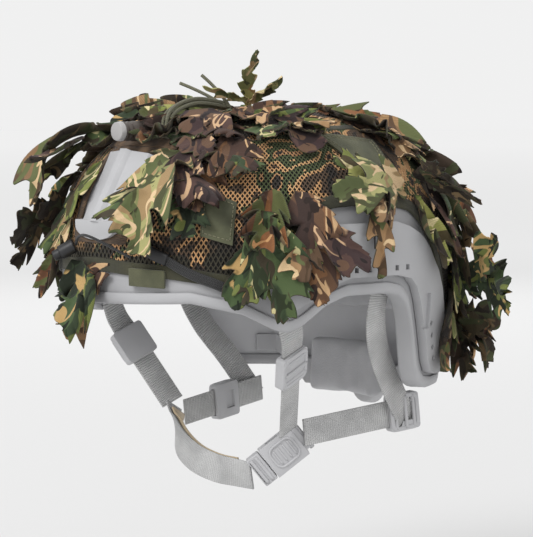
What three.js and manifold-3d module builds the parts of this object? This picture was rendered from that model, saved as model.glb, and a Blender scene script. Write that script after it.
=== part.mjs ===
// A leafy camouflage cover fitted on a high-cut helmet: shell, rim trim, rails, pads, chin harness,
// net cover, cords, patches and leaf sprays. Millimetres, +Z up. The front is -Y and the wearer's left is +X.
import * as THREE from "three";
import { mergeVertices } from "three/addons/utils/BufferGeometryUtils.js";
import Module from "manifold-3d";

const wasm = await Module();
wasm.setup();

// ---- Driving dimensions
const halfLength = 139; // shell, from its middle to the front
const halfWidth = 121;
const crownHeight = 100; // from the widest line to the top of the shell
const shellWall = 9;
const wallTaper = 0.065; // how far the wall draws in, as a share, 100 mm below the widest line
const crownPower = 2.3; // roundness of the dome, side view
const planPower = 2.2; // roundness of the shell, top view

const netGap = 0.5; // shell to net
const netThick = 1.4;
const seatGap = 0.4; // between a piece and what it is sewn or screwed to
const padThick = 18;
const padGap = 0.9;
const napeInset = 30; // nape pad's back, from the outside of the shell

const trimWall = 1.6;
const trimGap = 0.7;
const trimReach = 5; // how far the trim's lips run up the wall
const trimDrop = 2.4; // how far the trim stands below the shell's edge

const railThick = 6;
const railGap = 0.7;

const shroudLength = 55;
const shroudTop = 47; // width at the top
const shroudFoot = 43; // width near the rounded foot
const shroudFootDrop = 9; // drop of the half-round foot
const shroudLean = 29; // degrees back from upright

const webWidth = 19; // harness webbing
const webThick = 1.6;
const webSlot = 0.5; // clearance between webbing and a slider's slot

const lightRadius = 6.9;
const lightFront = 124; // how far forward the light's lens stands
const lightHeight = 86;
const lightCapLength = 4;

const patchThick = 1.5;
const tabThick = 3;
const cordThick = 3.4;
const cordWidth = 7;
const lockRadius = 5;
const lockLength = 11;
const lockCordRadius = 1.1;
const loopCordRadius = 3.4;

const yokeThick = 2.4;
const yokeFlat = 30; // degrees from the back to where an arm leaves the pad
const yokeSpread = 16; // degrees an arm takes to reach the shell
const dialRadius = 15;
const dialThick = 9;

const leafThick = 1.4;
const netOut = netGap + netThick; // outer face of the net, from the shell
const headRoom = crownHeight - shellWall - padGap - padThick; // crown of the head, above the widest line

// ---- The dome. turn: degrees from the front towards the wearer's left.
// rise: degrees up the crown, or millimetres down the wall where it is negative. off: distance out of the shell.
const rad = (degrees) => (degrees * Math.PI) / 180;
const signedPower = (value, power) => Math.sign(value) * Math.abs(value) ** power;

function domePoint(turn, rise, off = 0) {
  const across = signedPower(Math.sin(rad(turn)), 2 / planPower);
  const along = -signedPower(Math.cos(rad(turn)), 2 / planPower);
  if (rise >= 0) {
    const reach = Math.max(0, Math.cos(rad(rise))) ** (2 / crownPower);
    const height = (crownHeight + off) * Math.sin(rad(rise)) ** (2 / crownPower);
    return new THREE.Vector3((halfWidth + off) * across * reach, (halfLength + off) * along * reach, height);
  }
  const taper = 1 - wallTaper * (rise / 100) ** 2;
  return new THREE.Vector3((halfWidth * taper + off) * across, (halfLength * taper + off) * along, rise);
}

function outward(turn, rise) {
  const step = 1;
  const here = domePoint(turn, rise);
  const sideways = domePoint(turn + step, rise).sub(here);
  const upwards = domePoint(turn, Math.min(rise + step, 89)).sub(domePoint(turn, Math.min(rise, 88)));
  return sideways.cross(upwards).normalize();
}

// A value read off a list of [turn, value] pairs, the same on both sides of the helmet.
function readLine(line, turn) {
  const side = Math.abs(((turn + 180) % 360 + 360) % 360 - 180);
  const next = line.findIndex((pair) => pair[0] >= side);
  if (next <= 0) return line[0][1];
  const [[turnA, a], [turnB, b]] = [line[next - 1], line[next]];
  return a + ((b - a) * (side - turnA)) / (turnB - turnA);
}

// The shell's lower edge: brow, temple corner, ear cut and nape.
const rimLine = [
  [0, -27], [34, -24], [50, -31], [60, -42], [64, -44], [68, -40], [76, -26], [82, -21], [94, -21],
  [99, -23.5], [102, -30], [104, -41], [106.5, -60], [109, -76], [111.5, -85], [115, -90], [120, -92], [150, -93], [180, -95],
];
// The net's hem: over the brow, up over each rail, and down at the back.
const hemLine = [
  [0, -5], [13, -7], [26, -8], [37, -11], [51, -16], [57, -4], [64, 8], [76, 18.5], [92, 19.5],
  [106, 16], [116, 2], [126, -30], [138, -54], [180, -62],
];
const rimRise = (turn) => readLine(rimLine, turn);
const hemRise = (turn) => readLine(hemLine, turn);

const halfTurns = [0, 8, 16, 25, 34, 42, 50, 57, 64, 70, 76, 82, 89, 95, 99, 102, 104, 106.5, 109, 111.5, 115, 120, 126, 132, 140, 148, 156, 164, 172];
const turns = [...halfTurns.map((turn) => -turn).filter((turn) => turn < 0).reverse(), ...halfTurns, 180];
const rises = [-95, -84, -68, -52, -36, -18, 0, 10, 20, 30, 40, 50, 60, 70, 80, 90];

// ---- Solids
function closedGeometry(points, triangles) {
  let volume = 0;
  const index = [];
  for (const [a, b, c] of triangles) {
    if (a === b || b === c || c === a) continue;
    volume += points[a].dot(new THREE.Vector3().crossVectors(points[b], points[c]));
    index.push(a, b, c);
  }
  if (volume < 0) index.reverse();
  const geometry = new THREE.BufferGeometry();
  geometry.setAttribute("position", new THREE.Float32BufferAttribute(points.flatMap((p) => p.toArray()), 3));
  geometry.setIndex(index);
  return geometry;
}

// A solid between two sheets, each a list of columns. wrap joins the last column to the first.
function sheetSolid(outer, inner, wrap = false) {
  const columns = outer.length;
  const rows = outer[0].length;
  const points = [...outer.flat(), ...inner.flat()];
  const at = (layer, i, j) => layer * columns * rows + (i % columns) * rows + j;
  const triangles = [];
  const quad = (a, b, c, d) => triangles.push([a, b, c], [a, c, d]);
  const spans = wrap ? columns : columns - 1;
  for (let i = 0; i < spans; i++) {
    for (let j = 0; j < rows - 1; j++) {
      quad(at(0, i, j), at(0, i + 1, j), at(0, i + 1, j + 1), at(0, i, j + 1));
      quad(at(1, i, j), at(1, i, j + 1), at(1, i + 1, j + 1), at(1, i + 1, j));
    }
    quad(at(0, i + 1, 0), at(0, i, 0), at(1, i, 0), at(1, i + 1, 0));
    quad(at(0, i, rows - 1), at(0, i + 1, rows - 1), at(1, i + 1, rows - 1), at(1, i, rows - 1));
  }
  if (!wrap) {
    for (let j = 0; j < rows - 1; j++) {
      quad(at(0, 0, j), at(0, 0, j + 1), at(1, 0, j + 1), at(1, 0, j));
      const last = columns - 1;
      quad(at(0, last, j + 1), at(0, last, j), at(1, last, j), at(1, last, j + 1));
    }
  }
  return mergedGeometry(points, triangles);
}

// Points closer than a hundredth of a millimetre become one, which closes poles and clamped rows.
function mergedGeometry(points, triangles) {
  const seen = new Map();
  const kept = [];
  const place = points.map((point) => {
    const key = point.toArray().map((value) => Math.round(value * 100)).join(",");
    if (!seen.has(key)) {
      seen.set(key, kept.length);
      kept.push(point);
    }
    return seen.get(key);
  });
  return closedGeometry(kept, triangles.map((triangle) => triangle.map((corner) => place[corner])));
}

// A solid through loops of points. ring joins the last loop to the first, else both ends are capped.
function loft(loops, ring = false) {
  const count = loops[0].length;
  const points = loops.flat();
  const triangles = [];
  const spans = ring ? loops.length : loops.length - 1;
  for (let i = 0; i < spans; i++) {
    for (let k = 0; k < count; k++) {
      const a = i * count + k;
      const b = i * count + ((k + 1) % count);
      const c = ((i + 1) % loops.length) * count + ((k + 1) % count);
      const d = ((i + 1) % loops.length) * count + k;
      triangles.push([a, b, c], [a, c, d]);
    }
  }
  if (!ring) {
    const last = (loops.length - 1) * count;
    for (let k = 1; k < count - 1; k++) {
      triangles.push([0, k + 1, k], [last, last + k, last + k + 1]);
    }
  }
  return closedGeometry(points, triangles);
}

function solidOf(geometry) {
  const bare = geometry.clone();
  for (const name of ["normal", "uv"]) bare.deleteAttribute(name);
  const merged = mergeVertices(bare, 1e-3);
  return new wasm.Manifold(
    new wasm.Mesh({
      numProp: 3,
      vertProperties: merged.attributes.position.array,
      triVerts: new Uint32Array(merged.index.array),
    }),
  );
}

function geometryOf(solid) {
  const { vertProperties, triVerts, numProp } = solid.getMesh();
  const positions = [];
  for (let i = 0; i < vertProperties.length; i += numProp) positions.push(...vertProperties.slice(i, i + 3));
  const geometry = new THREE.BufferGeometry();
  geometry.setAttribute("position", new THREE.Float32BufferAttribute(positions, 3));
  geometry.setIndex([...triVerts]);
  return geometry;
}

const cut = (geometry, ...tools) =>
  geometryOf(tools.reduce((solid, tool) => solid.subtract(solidOf(tool)), solidOf(geometry)));
const join = (geometry, ...more) =>
  geometryOf(more.reduce((solid, piece) => solid.add(solidOf(piece)), solidOf(geometry)));

const box = (width, depth, height, x = 0, y = 0, z = 0) =>
  new THREE.BoxGeometry(width, depth, height).translate(x, y, z);

// A flat plate with rounded corners in the XZ plane, its thickness along Y.
function roundedPlate(width, height, thick, radius) {
  const [w, h] = [width / 2, height / 2];
  const shape = new THREE.Shape();
  shape.moveTo(-w + radius, -h);
  shape.lineTo(w - radius, -h);
  shape.absarc(w - radius, -h + radius, radius, -Math.PI / 2, 0);
  shape.lineTo(w, h - radius);
  shape.absarc(w - radius, h - radius, radius, 0, Math.PI / 2);
  shape.lineTo(-w + radius, h);
  shape.absarc(-w + radius, h - radius, radius, Math.PI / 2, Math.PI);
  shape.lineTo(-w, -h + radius);
  shape.absarc(-w + radius, -h + radius, radius, Math.PI, Math.PI * 1.5);
  return new THREE.ExtrudeGeometry(shape, { depth: thick, bevelEnabled: false, curveSegments: 2 })
    .translate(0, 0, -thick / 2)
    .rotateX(Math.PI / 2);
}

// The dome as a full solid, for cutting what sits on it.
function domeBlank(off) {
  const columns = turns.map((turn) => rises.map((rise) => domePoint(turn, rise, off)));
  const count = rises.length;
  const points = [...columns.flat(), new THREE.Vector3(0, 0, rises[0])];
  const hub = points.length - 1;
  const triangles = [];
  columns.forEach((_, i) => {
    const next = ((i + 1) % columns.length) * count;
    for (let j = 0; j < count - 1; j++) {
      const [a, b, c, d] = [i * count + j, next + j, next + j + 1, i * count + j + 1];
      triangles.push([a, b, c], [a, c, d]);
    }
    triangles.push([hub, next, i * count]);
  });
  return mergedGeometry(points, triangles);
}

// ---- The scene graph
const assembly = new THREE.Group();
const helmet = new THREE.Group();
helmet.position.z = -headRoom; // the origin is at the crown of the head
assembly.add(helmet);

const paint = (color, roughness, metalness = 0) => new THREE.MeshStandardMaterial({ color, roughness, metalness });
const shellPaint = () => paint(0xa9a9ab, 0.6);
const plastic = () => paint(0xb4b2b3, 0.5);
const darkFoam = () => paint(0x77777a, 0.9);
const webbing = () => paint(0xa6a5a4, 0.95);
const olive = () => paint(0x55593f, 0.95);
const black = () => paint(0x1c1c1e, 0.55);
const camoCloth = () => paint(0x5a5236, 0.95);

function add(name, geometry, material, parent = helmet) {
  const mesh = new THREE.Mesh(geometry, material);
  mesh.name = name;
  parent.add(mesh);
  return mesh;
}

// ---- Shell and trim
function crownSheet(off, edge) {
  return turns.map((turn) => {
    const low = edge(turn);
    return rises.map((rise) => domePoint(turn, Math.max(rise, low), off));
  });
}

function makeShell() {
  add("helmet_shell", sheetSolid(crownSheet(0, rimRise), crownSheet(-shellWall, rimRise), true), shellPaint());
}

// The rim as stations, each with the direction that runs from the edge into the wall.
function rimStations() {
  const perDegree = (halfLength + halfWidth) / 2 * rad(1);
  const line = turns.map((turn) => ({ turn, rise: rimRise(turn) }));
  return line.map((here, i) => {
    const before = line[(i - 1 + line.length) % line.length];
    const after = line[(i + 1) % line.length];
    const run = (((after.turn - before.turn) % 360 + 360) % 360) * perDegree;
    const climb = after.rise - before.rise;
    const length = Math.hypot(run, climb);
    return { ...here, side: -climb / length / perDegree, up: run / length };
  });
}

function makeTrim() {
  const outside = trimGap + trimWall;
  const inside = -shellWall - trimGap - trimWall;
  const section = [
    [outside, -trimDrop], [outside, trimReach], [trimGap, trimReach], [trimGap, -seatGap],
    [-shellWall - trimGap, -seatGap], [-shellWall - trimGap, trimReach], [inside, trimReach], [inside, -trimDrop],
  ];
  const loops = rimStations().map((station) =>
    section.map(([off, deep]) => domePoint(station.turn + station.side * deep, station.rise + station.up * deep, off)),
  );
  add("rim_trim", loft(loops, true), plastic());
}

// ---- Rails
const railTop = [
  [62, -24], [64, -8], [67, 4], [72, 11], [98, 11], [106, 6], [111, 1], [116, -12], [120, -28], [124, -50], [128, -76],
];
const railFoot = [
  [62, -31], [64, -32], [68, -28], [72, -22], [76, -16], [82, -11], [96, -11], [101, -14], [103.5, -20], [105.5, -30],
  [107.5, -44], [110, -60], [112.5, -74], [115.5, -82], [119, -84], [128, -84],
];
const railPocket = { turn: 109.5, rise: -38, width: 7, height: 24, depth: 2.6, draft: 0.4 };

// A frame on the rail's face: Z out of the helmet, Y up the wall.
function railFrame(side, turn, rise, off) {
  const spot = new THREE.Object3D();
  spot.up.set(0, 0, 1);
  spot.position.copy(domePoint(side * turn, rise, off));
  spot.lookAt(spot.position.clone().add(outward(side * turn, rise)));
  spot.updateMatrix();
  return spot.matrix;
}

function makeRail(name, side) {
  const stations = [62, 64, 67, 72, 76, 82, 89, 96, 101, 103.5, 105.5, 107.5, 110, 112.5, 115.5, 119, 124, 128];
  const rows = 5;
  const sheet = (off) =>
    stations.map((turn) => {
      const [foot, top] = [readLine(railFoot, turn), readLine(railTop, turn)];
      return Array.from({ length: rows }, (_, j) => domePoint(side * turn, foot + ((top - foot) * j) / (rows - 1), off));
    });
  const middle = railGap + railThick / 2;
  const through = (shape, turn, rise) => shape.applyMatrix4(railFrame(side, turn, rise, middle));
  const slots = [[81.5, 5], [89, 5]].map(([turn, rise]) => through(new THREE.BoxGeometry(2.4, 10, 20), turn, rise));
  const squares = [79.5, 83.5, 87.5, 95.5, 99.5].map((turn) => through(new THREE.BoxGeometry(3.4, 3.6, 20), turn, -6));
  const sockets = [[112.4, -47], [113.4, -55.5], [114.6, -64], [116, -72]].map(([turn, rise]) =>
    through(new THREE.CylinderGeometry(2, 2, 20, 8).rotateX(Math.PI / 2), turn, rise),
  );
  // The pocket's walls open outward by its draft, as a moulded pocket's do.
  const { turn, rise, width, height, depth, draft } = railPocket;
  const pocket = new THREE.BoxGeometry(width, height, 10).translate(0, 0, 5);
  const corner = pocket.attributes.position;
  for (let i = 0; i < corner.count; i++) {
    const open = corner.getZ(i) > 0 ? (draft * corner.getZ(i)) / depth : 0;
    corner.setX(i, corner.getX(i) + Math.sign(corner.getX(i)) * open);
    corner.setY(i, corner.getY(i) + Math.sign(corner.getY(i)) * open);
  }
  pocket.applyMatrix4(railFrame(side, turn, rise, railGap + railThick - depth));
  const rail = sheetSolid(sheet(railGap + railThick), sheet(railGap));
  add(name, cut(rail, ...slots, ...squares, ...sockets, pocket), plastic());
}

// ---- Front shroud and light
function makeShroud() {
  // A roof-shaped plate with a flat-topped rib along the middle, then an upright half-round foot.
  const section = [[-1, 0], [-0.9, 4], [-0.24, 7], [-0.14, 10], [0.14, 10], [0.24, 7], [0.9, 4], [1, 0], [1, -22], [-1, -22]];
  const stations = [[0, shroudTop / 2], [0.5, (shroudTop + shroudFoot) / 4], [1, shroudFoot / 2]];
  const loops = stations.map(([share, half]) =>
    section.map(([across, high]) => new THREE.Vector3(across * half, -high, -share * shroudLength)),
  );
  const top = domePoint(0, 41, 0.5);
  const plate = loft(loops).rotateX(-rad(shroudLean)).translate(top.x, top.y, top.z);
  const lean = rad(shroudLean);
  const [footY, footZ] = [top.y - Math.sin(lean) * shroudLength, top.z - Math.cos(lean) * shroudLength];
  const outline = new THREE.Shape();
  outline.absellipse(0, 0, shroudFoot / 2, shroudFootDrop, Math.PI, Math.PI * 2);
  outline.lineTo(shroudFoot / 2, 4);
  outline.lineTo(-shroudFoot / 2, 4);
  const foot = new THREE.ExtrudeGeometry(outline, { depth: 26, bevelEnabled: false, curveSegments: 10 })
    .rotateX(Math.PI / 2)
    .translate(0, footY + 26 - 7, footZ + 1);
  add("front_shroud", cut(join(plate, foot), domeBlank(seatGap + 0.2)), plastic());
}

function makeLight() {
  const barrelFront = lightFront - lightCapLength - 0.3;
  const length = 64;
  const rings = [0, 0.7, 0, 0.7, 0];
  const profile = [new THREE.Vector2(0, 0), new THREE.Vector2(lightRadius - 0.4, 0)];
  rings.forEach((groove, i) => profile.push(new THREE.Vector2(lightRadius - groove, 1 + i * 2)));
  profile.push(new THREE.Vector2(lightRadius, length), new THREE.Vector2(0, length));
  const barrel = new THREE.LatheGeometry(profile, 16).translate(0, -barrelFront, lightHeight);
  add("light_barrel", cut(barrel, domeBlank(netOut + seatGap)), black());
  const cap = new THREE.CylinderGeometry(lightRadius, lightRadius - 0.6, lightCapLength, 16);
  add("light_lens", cap.translate(0, -lightFront + lightCapLength / 2, lightHeight), plastic());
}

// ---- Pads inside the shell
function patchSolid(turnA, turnB, riseA, riseB, outOff, inOff, columns = 6, rows = 4) {
  const sheet = (off) =>
    Array.from({ length: columns + 1 }, (_, i) =>
      Array.from({ length: rows + 1 }, (_, j) =>
        domePoint(turnA + ((turnB - turnA) * i) / columns, riseA + ((riseB - riseA) * j) / rows, off),
      ),
    );
  return sheetSolid(sheet(outOff), sheet(inOff));
}

function makePads() {
  const out = -shellWall - padGap;
  const inner = out - padThick;
  const crown = (off) =>
    Array.from({ length: 16 }, (_, i) => [66, 74, 82, 90].map((rise) => domePoint(i * 22.5, rise, off)));
  add("crown_pad", sheetSolid(crown(out), crown(inner), true), darkFoam());
  add("front_pad", patchSolid(-34, 34, 2, 46, out, inner), darkFoam());
  add("side_pad_left", patchSolid(56, 112, 4, 44, out, inner), darkFoam());
  add("side_pad_right", patchSolid(-112, -56, 4, 44, out, inner), darkFoam());
  add("rear_pad", patchSolid(140, 220, -50, 44, out, inner, 6, 6), darkFoam());
  add("nape_pad", patchSolid(153, 207, -112, -68, -napeInset, -napeInset - 13, 6, 4), darkFoam());
}

// The yoke behind the nape pad and the dial that draws it in.
function makeNape() {
  const back = -napeInset + seatGap;
  // A band behind the pad whose two arms rise and spread to the shell's inner wall.
  const turns = [126, 130, 134, 138, 142, 146, 150, 157, 165, 172, 180, 188, 195, 203, 210, 214, 218, 222, 226, 230, 234];
  const sheet = (nearPad, nearShell) =>
    turns.map((turn) => {
      const share = Math.min(1, Math.max(0, (Math.abs(turn - 180) - yokeFlat) / yokeSpread));
      const off = nearPad + (nearShell - nearPad) * share;
      return [0, 0.5, 1].map((up) => domePoint(turn, -106 + 22 * share + up * (18 - 6 * share), off));
    });
  const hold = -shellWall - seatGap;
  add("nape_yoke", sheetSolid(sheet(back + yokeThick, hold), sheet(back, hold - yokeThick)), plastic());
  const knob = new THREE.CylinderGeometry(dialRadius, dialRadius - 1.5, dialThick, 24);
  const seat = domePoint(180, -88, back + yokeThick).y;
  add("fit_dial", knob.translate(0, seat + 0.3 + dialThick / 2, -104), plastic());
}

// ---- Harness
const vec = (x, y, z) => new THREE.Vector3(x, y, z);

// Webbing along points; across gives the direction of its width at each point.
function webSolid(points, across, width = webWidth, thick = webThick) {
  const loops = points.map((point, i) => {
    const before = points[Math.max(0, i - 1)];
    const after = points[Math.min(points.length - 1, i + 1)];
    const along = after.clone().sub(before).normalize();
    const wide = across[i].clone().addScaledVector(along, -across[i].dot(along)).normalize();
    const normal = along.clone().cross(wide);
    return [[1, 1], [-1, 1], [-1, -1], [1, -1]].map(([a, b]) =>
      point.clone().addScaledVector(wide, (a * width) / 2).addScaledVector(normal, (b * thick) / 2),
    );
  });
  return loft(loops);
}

function smooth(points, steps) {
  return new THREE.CatmullRomCurve3(points, false, "centripetal").getPoints(steps);
}

const blendAcross = (from, to, count) =>
  Array.from({ length: count }, (_, i) => from.clone().lerp(to, i / (count - 1)).normalize());

const mirror = (points, side) => points.map((p) => vec(side * p.x, p.y, p.z));

// Runs of webbing on the wearer's left; the right side mirrors them, except for the front strap's foot.
const frontHang = [domePoint(66, -2, -shellWall - 1.9), domePoint(66, -22, -shellWall - 4.8), domePoint(66, -40, -shellWall - 5.4)];
const frontRun = [vec(halfWidth - 25, -50, -52), vec(63.6, -25.2, -120.6)];
const frontFootRight = vec(-60, -27.5, -112);
const rearRun = [vec(67.5, -8.5, -121.6), vec(halfWidth - 39.5, 76, -112)];
const rearRise = [
  vec(halfWidth - 39.1, 70, -118), vec(halfWidth - 34.5, 47, -86), vec(halfWidth - 26, 29, -60), vec(halfWidth - 18, 21, -34),
  domePoint(100, -4, -shellWall - 1.9),
];

function makeSlider(name, at, along, wide, ...passing) {
  const group = new THREE.Group();
  const facing = along.clone().cross(wide).normalize();
  const basis = new THREE.Matrix4().makeBasis(wide, facing.clone().negate(), wide.clone().cross(facing.clone().negate()));
  group.position.copy(at);
  group.quaternion.setFromRotationMatrix(basis);
  helmet.add(group);
  const depth = 7;
  const plate = roundedPlate(webWidth + 7, 25, depth, 2.5);
  const passage = box(webWidth + 2 * webSlot, webThick + 2 * webSlot, 60);
  const windowCut = box(webWidth - 6, depth, 9, 0, -depth / 2 - webThick, -3);
  group.updateMatrix();
  const others = passing.map((geometry) => geometry.applyMatrix4(group.matrix.clone().invert()));
  add(name, cut(plate, passage, windowCut, ...others), plastic(), group);
}

const squareTo = (along, wish) => wish.clone().addScaledVector(along, -wish.dot(along)).normalize();
const tangentAt = (turn, rise) => domePoint(turn + 1, rise).sub(domePoint(turn - 1, rise)).normalize();

function makeHarness(side) {
  const label = side > 0 ? "left" : "right";
  const hang = mirror(frontHang, side);
  const front = mirror(frontRun, side);
  if (side < 0) front[1].copy(frontFootRight);
  const frontAlong = front[1].clone().sub(front[0]).normalize();
  const hangWide = tangentAt(side * 66, 0).multiplyScalar(-side);
  const frontWide = squareTo(frontAlong, vec(side * 0.35, -1, 0.2));
  const widths = [hangWide, hangWide, hangWide, frontWide, frontWide];
  add(`front_strap_${label}`, webSolid([...hang, ...front], widths), webbing());
  makeSlider(`front_slider_${label}`, front[0].clone().lerp(front[1], 0.3), frontAlong, frontWide);

  const rear = mirror(rearRun, side);
  const rearAlong = rear[1].clone().sub(rear[0]).normalize();
  const rearWide = squareTo(rearAlong, vec(0, 0, 1));
  const rise = mirror(rearRise, side);
  const riseWide = [vec(0, 0.8, 0.6), vec(0, 0.8, 0.6), vec(0, 0.9, 0.4), tangentAt(side * 100, 0).multiplyScalar(side), tangentAt(side * 100, 0).multiplyScalar(side)];
  const climb = (width, thick, extra = 0) => {
    const run = rise.map((point) => point.clone());
    run[0].addScaledVector(run[0].clone().sub(run[1]).normalize(), extra);
    return webSolid(run, riseWide, width, thick);
  };
  add(`rear_strap_${label}`, join(webSolid(rear, [rearWide, rearWide]), climb(webWidth, webThick)), webbing());
  const spot = rear[0].clone().lerp(rear[1], side > 0 ? 0.9 : 0.5);
  const clear = side > 0 ? [climb(webWidth + 2 * webSlot, webThick + 2 * webSlot, 3)] : [];
  makeSlider(`rear_slider_${label}`, spot, rearAlong, rearWide, ...clear);
}

// Chin buckle, in its own frame: +Y runs from the chin to the ear, Z is its thickness.
const buckleFoot = vec(42, -36, -151);
const buckleHead = vec(62, -12, -126);
function makeBuckle() {
  const group = new THREE.Group();
  const along = buckleHead.clone().sub(buckleFoot).normalize();
  const out = vec(0.8, -0.6, -0.1);
  const face = out.addScaledVector(along, -out.dot(along)).normalize();
  group.position.copy(buckleFoot);
  group.quaternion.setFromRotationMatrix(new THREE.Matrix4().makeBasis(along.clone().cross(face), along, face));
  helmet.add(group);

  const [mouth, end, width, thick] = [11, 38, 24, 9];
  const socket = join(
    box(width, end - mouth, thick, 0, (end + mouth) / 2, 0),
    box(width - 6, 4, thick - 3, 0, end + 1.5, 0),
  );
  const bore = box(width - 4, 23, 4.6, 0, mouth + 11, 0);
  const windows = [1, -1].map((side) => box(6, 10, 3.8, side * (width / 2), mouth + 12, 0));
  add("buckle_socket", cut(socket, bore, ...windows), plastic(), group);

  const base = join(box(width - 1, 10, thick - 1, 0, 5.3, 0), box(5, 20, 3, 0, mouth + 7, 0));
  add("buckle_plug", cut(base, box(width - 7, 2.6, 20, 0, 2.6, 0)), plastic(), group);
  for (const side of [1, -1]) {
    const prong = join(box(2.4, 17, 3, side * 6.5, mouth + 8.5, 0), box(3.4, 6, 3.2, side * 7.4, mouth + 14.5, 0));
    add(side > 0 ? "prong_lower" : "prong_upper", prong, plastic(), group);
  }
}

// The chin strap from the right-hand junction, round the chin, to the buckle's foot.
const liningLift = (2.1 * webWidth) / 19; // the twisted strap's edges stand this far off its middle
const chinRun = [
  vec(-57.2, -28.7, -116), vec(-50, -33, -127), vec(-36, -39.5, -138), vec(-15, -43.5, -146), vec(8, -43.5, -150.5),
  vec(26, -40, -152), vec(36.3, -39.1, -152.5),
];
function makeChinStrap() {
  const steps = 24;
  const points = smooth(chinRun, steps);
  const wide = blendAcross(vec(0.1, -0.5, 0.3), vec(0.45, -0.2, 0.95), points.length);
  const levels = points.map((_, i) => wide[i].clone().lerp(vec(0.1, 0.15, 1), Math.sin((Math.PI * i) / steps)).normalize());
  add("chin_strap", webSolid(points, levels, webWidth + 1), webbing());
  const last = steps - 4;
  const lined = points.slice(1, last).map((point, i) => {
    const along = points[i + 2].clone().sub(points[i]).normalize();
    const inward = levels[i + 1].clone().cross(along).normalize();
    return point.clone().addScaledVector(inward, webThick / 2 + seatGap + liningLift);
  });
  add("chin_lining", webSolid(lined, levels.slice(1, last), webWidth + 1, 2), paint(0xb9ac8c, 0.95));
}

// ---- Cover
function makeNet() {
  const net = sheetSolid(crownSheet(netOut, hemRise), crownSheet(netGap, hemRise), true);
  const top = domePoint(0, 41, 0.5);
  const opening = box(shroudTop + 3, 80, shroudLength + 16, 0, -10, -shroudLength / 2 - 5)
    .rotateX(-rad(shroudLean))
    .translate(top.x, top.y, top.z);
  add("cover_net", cut(net, opening), camoCloth());
}

// A plate on the net between four [turn, rise] corners.
function netPatch(corners, off, thick, side = 1, steps = 5) {
  const [a, b, c, d] = corners;
  const spot = (u, v, i) => (a[i] * (1 - u) + b[i] * u) * (1 - v) + (d[i] * (1 - u) + c[i] * u) * v;
  const sheet = (lift) =>
    Array.from({ length: steps + 1 }, (_, i) =>
      Array.from({ length: steps + 1 }, (_, j) => {
        const [u, v] = [i / steps, j / steps];
        return domePoint(side * spot(u, v, 0), spot(u, v, 1), lift);
      }),
    );
  return sheetSolid(sheet(off + thick), sheet(off));
}

function makePatches() {
  const panel = [[81, 53.5], [107, 47.5], [102, 29.5], [89, 37.5]];
  const lift = netOut + seatGap;
  add("patch_left", netPatch(panel, lift, patchThick), olive());
  add("patch_right", netPatch(panel, lift, patchThick, -1), olive());
  const band = [[37, 25], [48, 20], [47, 5], [37, 8]];
  add("web_band_left", netPatch(band, lift, patchThick, 1, 3), olive());
}

function makeBrowTab() {
  add("brow_tab", netPatch([[13.5, -3.5], [26, -4.5], [26, -16.5], [13.5, -15.5]], netOut + seatGap, tabThick, 1, 3), olive());
}

function tubeAlong(points, radius, sides = 8) {
  const loops = points.map((point, i) => {
    const before = points[Math.max(0, i - 1)];
    const after = points[Math.min(points.length - 1, i + 1)];
    const along = after.clone().sub(before).normalize();
    const wide = along.clone().cross(vec(0.13, 0.31, 1)).normalize();
    const normal = along.clone().cross(wide);
    return Array.from({ length: sides }, (_, k) => {
      const angle = (k / sides) * Math.PI * 2;
      return point.clone().addScaledVector(wide, Math.cos(angle) * radius).addScaledVector(normal, Math.sin(angle) * radius);
    });
  });
  return loft(loops);
}

const lockSpot = domePoint(-7, 2.2, 13);
const lockAlong = vec(-0.58, -0.6, -0.45).normalize();
function makeCords() {
  const edgeOff = netOut + seatGap + 0.3 + cordThick / 2;
  const edge = [[26, 1], [31, -3], [36, -8], [41, -12], [46, -16], [51, -18]].map(([turn, rise]) => domePoint(turn, rise, edgeOff));
  const upright = edge.map(() => vec(0, 0, 1));
  const sleeve = [[18, 4.5], [22, 2.4], [26.5, 1]].map(([turn, rise]) => domePoint(turn, rise, edgeOff + 0.7));
  const cord = webSolid(edge, upright, cordWidth, cordThick);
  add("edge_cord", join(cord, webSolid(sleeve, sleeve.map(() => vec(0, 0, 1)), cordWidth + 1.4, cordThick + 1.2)), black());

  const loops = smooth([
    domePoint(11, 50, netOut + seatGap + loopCordRadius - 0.6), domePoint(9, 57, 14), domePoint(12, 66, 14),
    domePoint(24, 75, netOut + seatGap + loopCordRadius),
  ], 12);
  add("loop_cords", tubeAlong(loops, loopCordRadius), olive());

  const start = lockSpot.clone().addScaledVector(lockAlong, -lockLength / 2 - 1.3);
  const lockCord = smooth([start, domePoint(-1, 6, 15), domePoint(4, 6, 17), domePoint(14, 1, netOut + lockCordRadius + 0.3)], 12);
  add("lock_cord", tubeAlong(lockCord, lockCordRadius), black());
  const holder = new THREE.Group();
  holder.position.copy(lockSpot);
  holder.quaternion.setFromUnitVectors(vec(0, 1, 0), lockAlong);
  helmet.add(holder);
  const bore = new THREE.CylinderGeometry(lockRadius - 0.8, lockRadius - 0.8, 8, 14).translate(0, lockLength / 2, 0);
  add("cord_lock", cut(new THREE.CylinderGeometry(lockRadius, lockRadius, lockLength, 14), bore), black(), holder);
  const button = new THREE.CylinderGeometry(lockRadius - 1.4, lockRadius - 1.2, 6, 14).translate(0, lockLength / 2 + 2, 0);
  add("cord_lock_button", button, black(), holder);
}

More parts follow.
